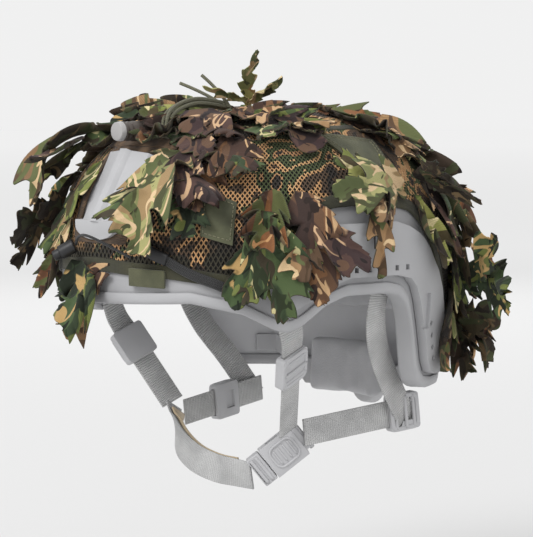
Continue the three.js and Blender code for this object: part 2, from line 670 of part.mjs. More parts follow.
// ---- Leaf sprays
// Each spray is a curved blade through points of [turn, rise, off], with its width and its roll in degrees.
const low = netOut + 0.4;
const sprays = {
  leaf_crest_front: { path: [[-34, 54, low], [-30, 42, 14], [-27, 28, 24], [-20, 14, 24]], width: 38 },
  leaf_cheek_right: { path: [[-44, 10, low], [-34, 8, 16], [-22, 4, 34]], width: 28 },
  leaf_brow: { path: [[-6, -2, low], [-4, -14, 9], [-2, -28, 16], [-6, -44, 20]], width: 36 },
  leaf_shroud_left: { path: [[22, 44, low], [24, 30, 14], [22, 14, 18], [18, 2, 16]], width: 34 },
  leaf_top_front: { path: [[34, 70, low], [31, 58, 9], [30, 47, 8]], width: 30 },
  leaf_side_mid: { path: [[44, 50, low], [45, 38, 9], [48, 27, 9]], width: 30 },
  leaf_twig: { path: [[40, 84, low], [46, 76, 22], [54, 66, 48]], width: 20 },
  leaf_crown: { path: [[56, 76, low], [68, 58, 8], [78, 40, 8]], width: 32 },
  leaf_crown_rear: { path: [[118, 62, low], [113, 48, 10], [107, 35, 10]], width: 30 },
  leaf_wing: { path: [[114, 28, low], [110, 22, 22], [103, 14, 48]], width: 26 },
  leaf_ear: { path: [[105, 24.5, low], [91, 24, 13], [76, 19, 17]], width: 32 },
  leaf_rail: { path: [[88, 20.5, low], [89, 9, 10], [88, -12, 13]], width: 18 },
  leaf_temple: { path: [[54, 17, low], [58, 2, 12], [62, -34, 15]], width: 38 },
  leaf_temple_rear: { path: [[68, 24, low], [70, 8, 14], [72, -26, 16]], width: 30 },
  leaf_back_left: { path: [[138, -20, low], [128, -18, 26], [116, -24, 48]], width: 32 },
  leaf_nape_left: { path: [[148, -50, low], [136, -58, 22], [124, -76, 36]], width: 32 },
  leaf_back: { path: [[180, 40, low], [180, 10, 12], [180, -40, 12]], width: 46 },
  leaf_nape_right: { path: [[-150, -30, low], [-148, -55, 14], [-146, -84, 22]], width: 38 },
  leaf_right_rear: { path: [[-128, 50, low], [-126, 30, 12], [-122, 6, 14]], width: 40 },
  leaf_right_side: { path: [[-74, 54, low], [-72, 36, 10], [-74, 14, 16]], width: 38 },
  leaf_right_temple: { path: [[-62, 26, low - 0.3], [-60, 6, 12], [-60, -30, 15]], width: 38 },
};
const outlineShares = [0.22, 0.78, 1, 0.94, 0.78, 0.5, 0.14];

function makeSpray(name, { path, width, roll = 0 }) {
  const points = smooth(path.map(([turn, rise, off]) => domePoint(turn, rise, off)), outlineShares.length - 1);
  const root = outward(path[0][0], path[0][1]);
  const chord = points.at(-1).clone().sub(points[0]).normalize();
  const wide = chord.clone().cross(root).normalize().applyAxisAngle(chord, rad(roll));
  const loops = points.map((point, i) => {
    const along = points[Math.min(i + 1, points.length - 1)].clone().sub(points[Math.max(i - 1, 0)]).normalize();
    const across = wide.clone().addScaledVector(along, -wide.dot(along)).normalize();
    const face = across.clone().cross(along).normalize();
    const half = (width / 2) * outlineShares[i];
    const crown = half * 0.16;
    return [[-1, 0, 0], [0, crown, 0], [1, 0, 0], [1, 0, 1], [0, crown, 1], [-1, 0, 1]].map(([side, lift, layer]) =>
      point.clone().addScaledVector(across, side * half).addScaledVector(face, lift + (layer ? leafThick : 0)),
    );
  });
  add(name, loft(loops), camoCloth());
}

makeShell();
makeTrim();
makeRail("rail_left", 1);
makeRail("rail_right", -1);
makeShroud();
makeLight();
makePads();
makeNape();
makeHarness(1);
makeHarness(-1);
makeBuckle();
makeChinStrap();
makeNet();
makePatches();
makeBrowTab();
makeCords();
for (const [name, spray] of Object.entries(sprays)) makeSpray(name, spray);

export default assembly;
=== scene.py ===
import bmesh
import bpy
import numpy as np
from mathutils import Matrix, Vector


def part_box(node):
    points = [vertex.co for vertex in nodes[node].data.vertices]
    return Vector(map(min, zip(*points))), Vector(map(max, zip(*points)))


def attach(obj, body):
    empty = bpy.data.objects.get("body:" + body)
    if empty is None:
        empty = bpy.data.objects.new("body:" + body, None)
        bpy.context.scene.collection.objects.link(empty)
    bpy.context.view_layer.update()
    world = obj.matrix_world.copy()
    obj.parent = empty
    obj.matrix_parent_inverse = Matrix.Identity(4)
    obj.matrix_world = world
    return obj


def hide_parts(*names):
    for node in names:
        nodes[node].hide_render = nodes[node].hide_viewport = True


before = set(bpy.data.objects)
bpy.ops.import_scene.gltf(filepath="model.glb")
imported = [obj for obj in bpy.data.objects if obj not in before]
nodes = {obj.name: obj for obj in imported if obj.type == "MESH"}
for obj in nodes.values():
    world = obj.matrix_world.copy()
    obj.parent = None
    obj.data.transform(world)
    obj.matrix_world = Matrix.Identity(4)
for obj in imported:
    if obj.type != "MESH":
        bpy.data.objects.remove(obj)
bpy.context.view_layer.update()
mm = 0.001
mergeGap = {"node": 0.00002, "pole": 0.000002, "sliver": 0.000001}

# The helmet's dome, worked out from the shell node.
shellLow, shellHigh = (np.array(corner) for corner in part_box("helmet_shell"))
dome = {
    "halfWidth": shellHigh[0],
    "halfLength": -shellLow[1],
    "crownHeight": 100 * mm,
    "wall": 9 * mm,
    "taper": 0.065,  # how far the wall draws in 100 mm below the widest line
    "crownPower": 2.3,
    "planPower": 2.2,
}
dome["middle"] = shellHigh[2] - dome["crownHeight"]  # height of the widest line


# turn: degrees from the front to the wearer's left. rise: degrees up the crown, or millimetres down
# the wall where it is negative. off: metres out of the shell. Superellipses in plan and in profile.
def domePoint(turn, rise, off=0.0):
    turn, rise, off = np.broadcast_arrays(*(np.asarray(v, float) for v in (turn, rise, off)))
    across, along = np.sin(np.radians(turn)), -np.cos(np.radians(turn))
    across = np.sign(across) * np.abs(across) ** (2 / dome["planPower"])
    along = np.sign(along) * np.abs(along) ** (2 / dome["planPower"])
    up = np.radians(np.clip(rise, 0, 90))
    reach = np.maximum(np.cos(up), 0) ** (2 / dome["crownPower"])
    height = (dome["crownHeight"] + off) * np.sin(up) ** (2 / dome["crownPower"])
    narrow = 1 - dome["taper"] * (np.minimum(rise, 0) / 100) ** 2
    x = across * reach * (dome["halfWidth"] * narrow + off)
    y = along * reach * (dome["halfLength"] * narrow + off)
    z = np.where(rise >= 0, height, rise * mm) + dome["middle"]
    return np.stack([x, y, z], -1)


# How far points stand out of the dome, near enough, from its implicit form.
def standOff(points):
    x, y = np.abs(points[..., 0]), np.abs(points[..., 1])
    z = points[..., 2] - dome["middle"]
    narrow = 1 - dome["taper"] * (np.minimum(z, 0) / 0.1) ** 2
    plan = ((x / (dome["halfWidth"] * narrow)) ** dome["planPower"]
            + (y / (dome["halfLength"] * narrow)) ** dome["planPower"]) ** (1 / dome["planPower"])
    up = np.maximum(z, 0) / dome["crownHeight"]
    level = (plan ** dome["crownPower"] + up ** dome["crownPower"]) ** (1 / dome["crownPower"])
    flat = points - np.array([0, 0, dome["middle"]])
    flat[..., 2] = np.maximum(flat[..., 2], 0)
    reach = np.linalg.norm(flat, axis=-1)
    return reach * (1 - 1 / np.maximum(level, 1e-6)), flat / np.maximum(reach, 1e-6)[..., None]


def keepOff(points, gap):
    depth, out = standOff(points)
    return points + out * np.maximum(gap - depth, 0)[..., None]


rimLine = np.array([
    (0, -27), (34, -24), (50, -31), (60, -42), (64, -44), (68, -40), (76, -26), (82, -21), (94, -21),
    (99, -23.5), (102, -30), (104, -41), (106.5, -60), (109, -76), (111.5, -85), (115, -90), (120, -92),
    (150, -93), (180, -95),
])
hemLine = np.array([
    (0, -5), (13, -7), (26, -8), (37, -11), (51, -16), (57, -4), (64, 8), (76, 18.5), (92, 19.5),
    (106, 16), (116, 2), (126, -30), (138, -54), (180, -62),
])


def readLine(line, turn):
    side = np.abs((np.asarray(turn, float) + 180) % 360 - 180)
    return np.interp(side, line[:, 0], line[:, 1])


def gridFaces(rows, columns, wrapRows=False, wrapColumns=False):
    i = np.arange(rows if wrapRows else rows - 1)[:, None]
    j = np.arange(columns if wrapColumns else columns - 1)[None, :]
    ii, jj = (i + 1) % rows, (j + 1) % columns
    corners = (i * columns + j, ii * columns + j, ii * columns + jj, i * columns + jj)
    return np.stack(np.broadcast_arrays(*corners), -1).reshape(-1, 4)


def addMesh(name, points, faces, materials, uv=None, slots=None):
    points = np.asarray(points, float).reshape(-1, 3)
    mesh = bpy.data.meshes.new(name)
    mesh.from_pydata(points.tolist(), [], [tuple(f) for f in np.asarray(faces).tolist()])
    if uv is not None:
        layer = mesh.uv_layers.new(name="cloth")
        corners = np.empty(len(mesh.loops), int)
        mesh.loops.foreach_get("vertex_index", corners)
        layer.data.foreach_set("uv", np.asarray(uv, float).reshape(-1, 2)[corners].ravel())
    for material in materials if isinstance(materials, (list, tuple)) else [materials]:
        mesh.materials.append(material)
    if slots is not None:
        mesh.polygons.foreach_set("material_index", np.asarray(slots, int))
    mesh.shade_smooth()
    mesh.validate()
    piece = bpy.data.objects.new(name, mesh)
    bpy.context.scene.collection.objects.link(piece)
    return piece


# Unit normals of a grid of points, from its two directions.
def gridNormals(points):
    a = np.gradient(points, axis=0)
    b = np.gradient(points, axis=1)
    normal = np.cross(a, b)
    return normal / np.maximum(np.linalg.norm(normal, axis=-1), 1e-12)[..., None]


# A closed cloth's faces: an upper grid, the same grid turned over, and a wall round their edge.
def clothFaces(rows, columns):
    count = rows * columns
    top = gridFaces(rows, columns)
    under = top[:, ::-1] + count
    edge = np.concatenate([
        np.arange(columns), np.arange(1, rows) * columns + columns - 1,
        (rows - 1) * columns + np.arange(columns - 2, -1, -1), np.arange(rows - 2, 0, -1) * columns,
    ])
    after = np.roll(edge, -1)
    rim = np.stack([edge, after, after + count, edge + count], -1)
    return np.concatenate([top, under, rim])


# Its points: the grid moved half the thickness each way along its normals.
def clothPoints(points, thick):
    normal = gridNormals(points)
    return np.stack([points + normal * thick / 2, points - normal * thick / 2])


# A smooth line through points: Catmull-Rom, worked out for all shares at once.
def smoothLine(points, count):
    points = np.asarray(points, float)
    padded = np.vstack([2 * points[0] - points[1], points, 2 * points[-1] - points[-2]])
    at = np.linspace(0, len(points) - 1, count)
    k = np.minimum(at.astype(int), len(points) - 2)
    t = (at - k)[:, None]
    a, b, c, d = (padded[k + n] for n in range(4))
    return 0.5 * (2 * b + (c - a) * t + (2 * a - 5 * b + 4 * c - d) * t**2 + (3 * b - a - 3 * c + d) * t**3)


# Points on a line, read at given places along it.
def readAt(spots, at, points):
    return np.stack([np.interp(spots, at, points[:, k]) for k in range(3)], -1)


def unit(vectors):
    vectors = np.asarray(vectors, float)
    return vectors / np.maximum(np.linalg.norm(vectors, axis=-1), 1e-12)[..., None]


# Each point's direction along a line, its width direction squared to it, and the normal.
def lineFrames(line, wide):
    along = unit(np.gradient(line, axis=0))
    wide = np.broadcast_to(np.asarray(wide, float), line.shape)
    wide = unit(wide - along * np.sum(wide * along, -1, keepdims=True))
    return along, wide, np.cross(along, wide)


# A profile of (width, height) points carried along a line, with its ends capped.
def sweep(name, line, wide, profile, material, closedRing=False):
    along, side, up = lineFrames(line, wide)
    profile = np.asarray(profile, float)
    rings = line[:, None] + side[:, None] * profile[None, :, :1] + up[:, None] * profile[None, :, 1:]
    count, steps = profile.shape[0], len(line)
    length = np.concatenate([[0], np.cumsum(np.linalg.norm(np.diff(line, axis=0), axis=1))])
    around = np.concatenate([[0], np.cumsum(np.linalg.norm(np.diff(profile, axis=0), axis=1))])
    uv = np.stack(np.broadcast_arrays(length[:, None], around[None, :]), -1)
    faces = gridFaces(steps, count, wrapRows=closedRing, wrapColumns=True)
    caps = [] if closedRing else [list(range(count)), list(range((steps - 1) * count, steps * count))[::-1]]
    piece = addMesh(name, rings, faces[:, ::-1], material, uv=uv)
    if caps:
        mesh = piece.data
        capped = [tuple(p.vertices) for p in mesh.polygons] + [tuple(c) for c in caps]
        fresh = bpy.data.meshes.new(name)
        fresh.from_pydata(rings.reshape(-1, 3).tolist(), [], capped)
        layer = fresh.uv_layers.new(name="cloth")
        corners = np.empty(len(fresh.loops), int)
        fresh.loops.foreach_get("vertex_index", corners)
        layer.data.foreach_set("uv", uv.reshape(-1, 2)[corners].ravel())
        fresh.materials.append(material)
        fresh.shade_smooth()
        piece.data = fresh
        bpy.data.meshes.remove(mesh)
    faceOut(piece)
    return piece


# Runs one piece of mesh work on a source mesh and writes the result into a target mesh.
def editMesh(source, target, work):
    shape = bmesh.new()
    shape.from_mesh(source)
    work(shape)
    shape.to_mesh(target)
    shape.free()


def faceOut(piece):
    editMesh(piece.data, piece.data, lambda shape: bmesh.ops.recalc_face_normals(shape, faces=shape.faces))


# A rectangle with rounded corners, as a profile; ringProfile is a round one.
def roundProfile(width, height, corner, steps=3):
    turns = np.linspace(0, np.pi / 2, steps + 1)
    corners = [(1, 1, 0), (-1, 1, np.pi / 2), (-1, -1, np.pi), (1, -1, np.pi * 1.5)]
    halfWidth, halfHeight = width / 2 - corner, height / 2 - corner
    return np.array([
        (sx * halfWidth + corner * np.cos(start + t), sy * halfHeight + corner * np.sin(start + t))
        for sx, sy, start in corners for t in turns
    ])


def ringProfile(radius, sides=12):
    t = np.linspace(0, 2 * np.pi, sides, endpoint=False)
    return np.stack([np.cos(t), np.sin(t)], -1) * radius


# A colour from 0 to 255 a channel, made linear.
def linear(red, green, blue):
    value = np.array([red, green, blue]) / 255
    return tuple(np.where(value <= 0.04045, value / 12.92, ((value + 0.055) / 1.055) ** 2.4)) + (1.0,)


# A node's output or a four-channel colour as it is, and three channels from 0 to 255 made linear.
def asColour(value):
    return value if isinstance(value, bpy.types.NodeSocket) or len(value) == 4 else linear(*value)


class Finish:
    def __init__(self, name, rough=0.7, sheen=0.0, specular=0.5):
        self.material = bpy.data.materials.new(name)
        self.material.use_nodes = True
        self.tree = self.material.node_tree
        self.skin = next(n for n in self.tree.nodes if n.type == "BSDF_PRINCIPLED")
        values = {"Roughness": rough, "Specular IOR Level": specular, "Sheen Weight": sheen}
        for socket, value in values.items():
            self.skin.inputs[socket].default_value = value
        self.coords = self.tree.nodes.new("ShaderNodeTexCoord")

    def node(self, kind, inputs=(), **settings):
        made = self.tree.nodes.new("ShaderNode" + kind)
        for key, value in settings.items():
            setattr(made, key, value)
        for key, value in dict(inputs).items():
            self.feed(made.inputs[key], value)
        return made

    def feed(self, socket, value):
        if isinstance(value, bpy.types.NodeSocket):
            self.tree.links.new(value, socket)
        else:
            socket.default_value = value

    def place(self, source="Object", scale=(1, 1, 1), shift=(0, 0, 0)):
        inputs = {"Vector": self.coords.outputs[source], "Scale": scale, "Location": shift}
        return self.node("Mapping", inputs).outputs[0]

    def noise(self, vector, scale, detail=2, rough=0.5, bend=0.0):
        inputs = {"Vector": vector, "Scale": scale, "Detail": detail, "Roughness": rough, "Distortion": bend}
        return self.node("TexNoise", inputs).outputs["Fac"]

    def ramp(self, factor, stops, blend="LINEAR"):
        made = self.node("ValToRGB", {"Fac": factor})
        made.color_ramp.interpolation = blend
        points = made.color_ramp.elements
        while len(points) < len(stops):
            points.new(0.5)
        for point, (at, colour) in zip(points, stops):
            point.position = at
            point.color = asColour(colour)
        return made.outputs[0]

    def step(self, factor, low, high):
        return self.node("MapRange", {"Value": factor, "From Min": low, "From Max": high}).outputs[0]

    # Inputs 6 and 7 and output 2 are the node's colour sockets.
    def mix(self, factor, a, b):
        made = self.node("Mix", {0: factor}, data_type="RGBA")
        self.feed(made.inputs[6], asColour(a))
        self.feed(made.inputs[7], asColour(b))
        return made.outputs[2]

    def maths(self, how, a, b=0.0):
        return self.node("Math", {0: a, 1: b}, operation=how).outputs[0]

    def bump(self, height, strength, distance):
        made = self.node("Bump", {"Height": height, "Strength": strength, "Distance": distance})
        if self.skin.inputs["Normal"].links:
            self.tree.links.new(self.skin.inputs["Normal"].links[0].from_socket, made.inputs["Normal"])
        self.tree.links.new(made.outputs[0], self.skin.inputs["Normal"])

    def colour(self, value):
        self.feed(self.skin.inputs["Base Color"], asColour(value))

    def roughness(self, value):
        self.feed(self.skin.inputs["Roughness"], value)


# Fine over-and-under threads: two sine waves at right angles, multiplied.
def weaveHeight(finish, vector, pitch):
    parts = finish.node("SeparateXYZ", {"Vector": vector})
    turns = [finish.maths("MULTIPLY", parts.outputs[k], 2 * np.pi / pitch) for k in (0, 1)]
    return finish.maths("MULTIPLY", *(finish.maths("SINE", turn) for turn in turns))


# A moulded or painted surface: fine grain, faint mottling, and paler wear by noise.
def mouldedFinish(name, colour, worn, rough=0.55, grain=1400):
    finish = Finish(name, rough)
    place = finish.place()
    cloud = finish.noise(place, 22, 3)
    finish.colour(finish.mix(finish.step(cloud, 0.35, 0.7), colour, worn))
    speck = finish.noise(place, grain, 2)
    finish.bump(speck, 0.25, 0.0003)
    low, high = ((rough + change,) * 3 + (1,) for change in (-0.08, 0.1))
    finish.roughness(finish.ramp(finish.noise(place, 60, 2), [(0.3, low), (0.7, high)]))
    return finish.material


# Woven tape: cross ribs along its length and finer threads along it, from its own UV in metres; its slightly
# raised selvedge is not drawn.
def webbingFinish(name, colour, dark, pitch=0.0017):
    finish = Finish(name, 0.85, sheen=0.15)
    place = finish.place("UV")
    parts = finish.node("SeparateXYZ", {"Vector": place})
    rib = finish.maths("SINE", finish.maths("MULTIPLY", parts.outputs[0], 2 * np.pi / pitch))
    thread = finish.maths("SINE", finish.maths("MULTIPLY", parts.outputs[1], 2 * np.pi / 0.0012))
    both = finish.maths("ADD", rib, finish.maths("MULTIPLY", thread, 0.4))
    cloud = finish.noise(finish.place(), 60, 3)
    base = finish.mix(finish.step(cloud, 0.3, 0.75), colour, dark)
    finish.colour(finish.mix(finish.step(both, -1.3, 0.2), dark, base))
    finish.bump(both, 0.7, 0.0004)
    return finish.material


# Brushed cloth over foam: short fibres, with colour that drifts.
def padFinish(name, colour, dark):
    finish = Finish(name, 0.95, sheen=0.35)
    place = finish.place()
    fibre = finish.noise(place, 900, 4, 0.65)
    finish.colour(finish.mix(finish.step(finish.noise(place, 35, 3), 0.3, 0.7), colour, dark))
    finish.bump(fibre, 0.6, 0.0006)
    return finish.material


# Die-cut printed cloth, from the leaf's own UV in metres: a ground, three layers of hard-edged blotches
# drawn by smooth noise, and pale streaks that follow the contour lines of one more.
def leafFinish(name, ground, middle, light, accent, streak, share=0.5):
    finish = Finish(name, 0.88, sheen=0.06, specular=0.25)
    place = finish.place("UV")

    def blotch(shift, scale, level, bend=0.9, detail=1.3):
        spot = finish.place("UV", shift=(shift, 0.7 * shift, 0), scale=(0.62, 1.1, 1))
        return finish.step(finish.noise(spot, scale, detail, 0.5, bend), level, level + 0.012)

    printed = finish.mix(blotch(0.0, 34, 0.50), ground, middle)
    printed = finish.mix(blotch(3.1, 38, 0.54, 1.2), printed, light)
    printed = finish.mix(blotch(7.7, 44, 0.56, 1.5), printed, accent)
    contour = finish.noise(finish.place("UV", shift=(5.3, 1.2, 0), scale=(0.6, 1.1, 1)), 26, 1.0, 0.5, 1.3)
    line = finish.maths("ABSOLUTE", finish.maths("SUBTRACT", contour, 0.5))
    where = blotch(11.2, 30, 0.56 - 0.16 * share, 0.4, 1.0)
    printed = finish.mix(finish.maths("MULTIPLY", finish.step(line, 0.027, 0.021), where), printed, streak)
    dab = finish.noise(finish.place("UV", shift=(2.2, 9.1, 0), scale=(0.7, 1.1, 1)), 85, 1.0, 0.5, 0.8)
    printed = finish.mix(finish.maths("MULTIPLY", finish.step(dab, 0.66, 0.672), where), printed, streak)
    shadow = finish.noise(finish.place("UV", shift=(4.2, 6.1, 0), scale=(0.6, 1.1, 1)), 60, 1.6, 0.5, 1.6)
    printed = finish.mix(finish.step(shadow, 0.60, 0.612), printed, tuple(0.5 * c for c in ground))
    weave = weaveHeight(finish, place, 0.0007)
    finish.colour(finish.mix(finish.step(weave, -2.2, 0.8), tuple(0.6 * c for c in ground), printed))
    finish.bump(weave, 0.3, 0.00022)
    finish.bump(finish.noise(place, 90, 2), 0.22, 0.001)
    return finish.material


# Printed knit: hard-edged patches by smooth noise, darker near the hem, with a fine thread grain.
def netFinish():
    finish = Finish("printedNet", 0.8, sheen=0.1)
    place = finish.place()
    zone = finish.noise(place, 24, 2, 0.5, 1.1)
    front = finish.node("SeparateXYZ", {"Vector": finish.coords.outputs["Object"]})
    colour = finish.ramp(zone, [
        (0.0, (44, 36, 30)), (0.41, (86, 66, 48)), (0.465, (196, 150, 102)), (0.525, (206, 164, 114)),
        (0.55, (72, 82, 46)), (0.61, (176, 132, 90)), (0.645, (46, 38, 30)),
    ], "CONSTANT")
    low = finish.step(front.outputs[2], dome["middle"] + 0.016, dome["middle"] + 0.004)
    dark = finish.maths("MULTIPLY", low, finish.step(finish.noise(place, 40, 2), 0.40, 0.42))
    colour = finish.mix(dark, colour, (52, 48, 34))
    grain = finish.step(finish.noise(place, 2200, 2), 0.35, 0.6)
    finish.colour(finish.mix(grain, finish.mix(0.3, colour, (30, 26, 20)), colour))
    finish.bump(finish.noise(place, 2600, 2), 0.5, 0.0003)
    return finish.material


# Plain woven cloth: the weave above, laid on the object's side faces, with colour that drifts.
def clothFinish(name, colour, dark, pitch=0.0009, rough=0.9):
    finish = Finish(name, rough, sheen=0.15)
    place = finish.place()
    parts = finish.node("SeparateXYZ", {"Vector": place}).outputs
    swapped = finish.node("CombineXYZ", {"X": parts[1], "Y": parts[2]}).outputs[0]
    weave = weaveHeight(finish, swapped, pitch)
    base = finish.mix(finish.step(finish.noise(place, 90, 3), 0.3, 0.7), colour, dark)
    finish.colour(finish.mix(finish.step(weave, -1.0, 0.6), dark, base))
    finish.bump(weave, 0.5, 0.0003)
    return finish.material


# Braided cord: two slanted sine waves multiplied, from the cord's own UV in metres.
def cordFinish(name, colour, dark, pitch=0.0022):
    finish = Finish(name, 0.7, sheen=0.1)
    parts = finish.node("SeparateXYZ", {"Vector": finish.place("UV")})
    along = finish.maths("MULTIPLY", parts.outputs[0], 2 * np.pi / pitch)
    around = finish.maths("MULTIPLY", parts.outputs[1], 2 * np.pi / (pitch * 0.9))
    slants = [finish.maths("SINE", finish.maths(how, along, around)) for how in ("ADD", "SUBTRACT")]
    braid = finish.maths("MULTIPLY", *slants)
    finish.colour(finish.mix(finish.step(braid, -0.6, 0.6), dark, colour))
    finish.bump(braid, 0.7, 0.0004)
    return finish.material


finishes = {
    "shell": mouldedFinish("paintedShell", (156, 156, 158), (164, 164, 166), 0.6, 1800),
    "shellInside": mouldedFinish("shellLining", (198, 198, 200), (206, 206, 208), 0.75, 900),
    "plastic": mouldedFinish("paleMoulding", (172, 172, 174), (182, 182, 184), 0.5, 2200),
    "rail": mouldedFinish("railMoulding", (162, 162, 164), (170, 170, 172), 0.55, 2200),
    "black": mouldedFinish("blackMoulding", (22, 22, 24), (34, 34, 36), 0.45, 2600),
    "barrel": mouldedFinish("darkBarrel", (62, 54, 50), (74, 66, 60), 0.5, 2000),
    "lens": mouldedFinish("paleDisc", (152, 150, 150), (164, 162, 160), 0.35, 900),
    "pad": padFinish("brushedPad", (186, 186, 188), (168, 168, 171)),
    "padEdge": clothFinish("padBinding", (112, 112, 116), (94, 94, 98)),
    "webbing": webbingFinish("paleWebbing", (204, 204, 203), (166, 166, 166)),
    "suede": padFinish("tanSuede", (198, 180, 150), (182, 162, 132)),
    "olive": clothFinish("oliveCloth", (98, 98, 72), (70, 72, 52)),
    "oliveDark": webbingFinish("oliveWebbing", (88, 90, 66), (54, 56, 42), 0.0021),
    "thread": clothFinish("oliveThread", (150, 148, 116), (110, 108, 84), 0.0006),
    # Near black, for the sheet under the net that stands in as painted shade.
    "liner": clothFinish("darkLiner", (26, 24, 20), (16, 15, 13)),
    "hem": clothFinish("hemTape", (74, 72, 50), (48, 48, 36)),
    "cord": cordFinish("blackCord", (58, 58, 58), (18, 18, 19)),
    "laces": cordFinish("oliveLace", (128, 126, 102), (66, 66, 52)),
    "net": netFinish(),
    "mesh": clothFinish("brownKnit", (118, 92, 66), (56, 44, 34), 0.0016),
}
leafColours = {
    "bark": ((76, 56, 48), (108, 80, 60), (60, 46, 42), (134, 96, 66), (216, 178, 134), 0.45),
    "purple": ((66, 50, 50), (88, 66, 60), (52, 40, 40), (108, 82, 64), (222, 184, 144), 0.35),
    "green": ((84, 100, 64), (56, 70, 48), (122, 130, 72), (66, 54, 44), (214, 202, 150), 0.5),
    "moss": ((54, 66, 46), (76, 94, 60), (42, 48, 38), (116, 124, 66), (206, 170, 112), 0.4),
    "tan": ((138, 108, 78), (168, 134, 96), (92, 72, 56), (96, 108, 68), (230, 200, 156), 0.6),
    "lime": ((134, 142, 78), (168, 168, 98), (88, 102, 58), (78, 62, 48), (238, 222, 172), 0.7),
    "pale": ((136, 140, 92), (170, 140, 102), (178, 174, 118), (88, 98, 62), (236, 204, 162), 0.7),
    "rust": ((112, 76, 54), (146, 98, 62), (78, 58, 48), (94, 104, 62), (226, 176, 122), 0.5),
}
leafSkins = {name: leafFinish("leaf_" + name, *colours) for name, colours in leafColours.items()}
# The leaves' undersides: a darker, duller copy of the print, painted shade on the backs that face the dome.
shadedUnderColours = ((66, 54, 44), (78, 70, 52), (52, 46, 38), (72, 78, 52), (126, 106, 78), 0.3)
finishes["leafUnderShaded"] = leafFinish("leaf_back", *shadedUnderColours)
print("finishes made:", len(finishes) + len(leafSkins))


# Puts a piece on its body, in place of the nodes it stands for. Its slot is not used.
def settle(piece, body, slot, *replaced):
    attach(piece, body)
    if replaced:
        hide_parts(*replaced)
    return piece


# A rod of round section along a line, on its body.
def addRod(name, line, wide, radius, finish, body, slot, *replaced):
    return settle(sweep(name, line, wide, ringProfile(radius), finishes[finish]), body, slot, *replaced)


# A copy of a node's shape with its shared corners merged.
def mergedCopy(node, name, material):
    mesh = bpy.data.meshes.new(name)
    merge = lambda shape: bmesh.ops.remove_doubles(shape, verts=shape.verts, dist=mergeGap["node"])
    editMesh(nodes[node].data, mesh, merge)
    mesh.materials.clear()
    mesh.materials.append(material)
    piece = bpy.data.objects.new(name, mesh)
    bpy.context.scene.collection.objects.link(piece)
    return piece


# The same with its edges rounded.
def cadCopy(node, name, material, bevel=0.0006, segments=2, angle=28):
    piece = mergedCopy(node, name, material)
    rounded = piece.modifiers.new("Edges", "BEVEL")
    rounded.width = bevel
    rounded.segments = segments
    rounded.limit_method = "ANGLE"
    rounded.angle_limit = np.radians(angle)
    rounded.harden_normals = False
    bake(piece)
    piece.data.shade_smooth()
    piece.data.set_sharp_from_angle(angle=np.radians(35))
    return piece


# Puts a piece's modifiers into its mesh.
def bake(piece):
    seen = bpy.context.evaluated_depsgraph_get()
    seen.update()
    old = piece.data
    piece.data = bpy.data.meshes.new_from_object(piece.evaluated_get(seen))
    piece.modifiers.clear()
    bpy.data.meshes.remove(old)


# A closed sheet from faces on two matching layers of points, with a wall at every open edge.
def closeSheet(name, top, under, quads, material):
    count = len(top)
    edges = np.concatenate([np.stack([quads[:, k], quads[:, (k + 1) % 4]], -1) for k in range(4)])
    keys = np.sort(edges, 1)
    _, first, times = np.unique(keys[:, 0] * count + keys[:, 1], return_index=True, return_counts=True)
    rim = edges[first[times == 1]]
    walls = np.stack([rim[:, 1], rim[:, 0], rim[:, 0] + count, rim[:, 1] + count], -1)
    faces = np.concatenate([quads, quads[:, ::-1] + count, walls])
    used, moved = np.unique(faces, return_inverse=True)
    points = np.concatenate([top, under])[used]
    return addMesh(name, points, moved.reshape(-1, 4), material)


# A closed sheet from the grid cells that a mask keeps.
def maskedSheet(name, top, under, keep, material):
    rows, columns = top.shape[:2]
    quads = gridFaces(rows, columns, wrapColumns=keep.shape[1] == columns)[keep.ravel()]
    piece = closeSheet(name, top.reshape(-1, 3), under.reshape(-1, 3), quads, material)
    faceOut(piece)
    return piece


# Height of the dome over a point in plan, from the superellipse in profile.
def domeOver(x, y, off):
    across, along = np.abs(x) / (dome["halfWidth"] + off), np.abs(y) / (dome["halfLength"] + off)
    plan = across ** dome["planPower"] + along ** dome["planPower"]
    plan = plan ** (dome["crownPower"] / dome["planPower"])
    return dome["middle"] + (dome["crownHeight"] + off) * np.maximum(1 - plan, 0) ** (1 / dome["crownPower"])


# The shell: rings of the outer face from rim to crown, then of the inner face from crown to rim.
def makeShell():
    spread = [np.linspace(-180, 180, 241)[:-1], rimLine[:, 0], -rimLine[:, 0]]
    turns = np.unique(np.concatenate(spread).round(3))
    turns = turns[(turns >= -179.999) & (turns <= 180)]
    share = np.linspace(0, 1, 30)[:, None]
    foot = readLine(rimLine, turns)[None, :]
    wall = foot * (1 - share)
    crown = 90 * np.linspace(0, 1, 36)[1:, None] + 0 * foot
    rises = np.concatenate([wall, crown])
    outer = domePoint(turns[None], rises, 0.0)
    inner = domePoint(turns[None], rises, -dome["wall"])[::-1]
    rings = np.concatenate([outer, inner])
    quads = gridFaces(len(rings), len(turns), wrapRows=True, wrapColumns=True)
    inside = np.repeat(np.arange(len(rings)) >= len(outer), len(turns)).astype(int)
    skins = [finishes["shell"], finishes["shellInside"]]
    piece = addMesh("helmet_shell_smooth", rings, quads, skins, slots=inside)
    closePoles(piece)
    return settle(piece, "helmet", "shell", "helmet_shell")


# Merges the rings that shrink to a point at the crown.
def closePoles(piece):
    def work(shape):
        bmesh.ops.remove_doubles(shape, verts=shape.verts, dist=mergeGap["pole"])
        bmesh.ops.dissolve_degenerate(shape, edges=shape.edges, dist=mergeGap["sliver"])
        bmesh.ops.recalc_face_normals(shape, faces=shape.faces)

    editMesh(piece.data, piece.data, work)
    piece.data.shade_smooth()


# Rim trim: a U section carried round the rim line, drawn in the dome's own turn, rise and offset.
trim = {"wall": 1.6, "gap": 0.7, "reach": 5.0, "drop": 2.4}


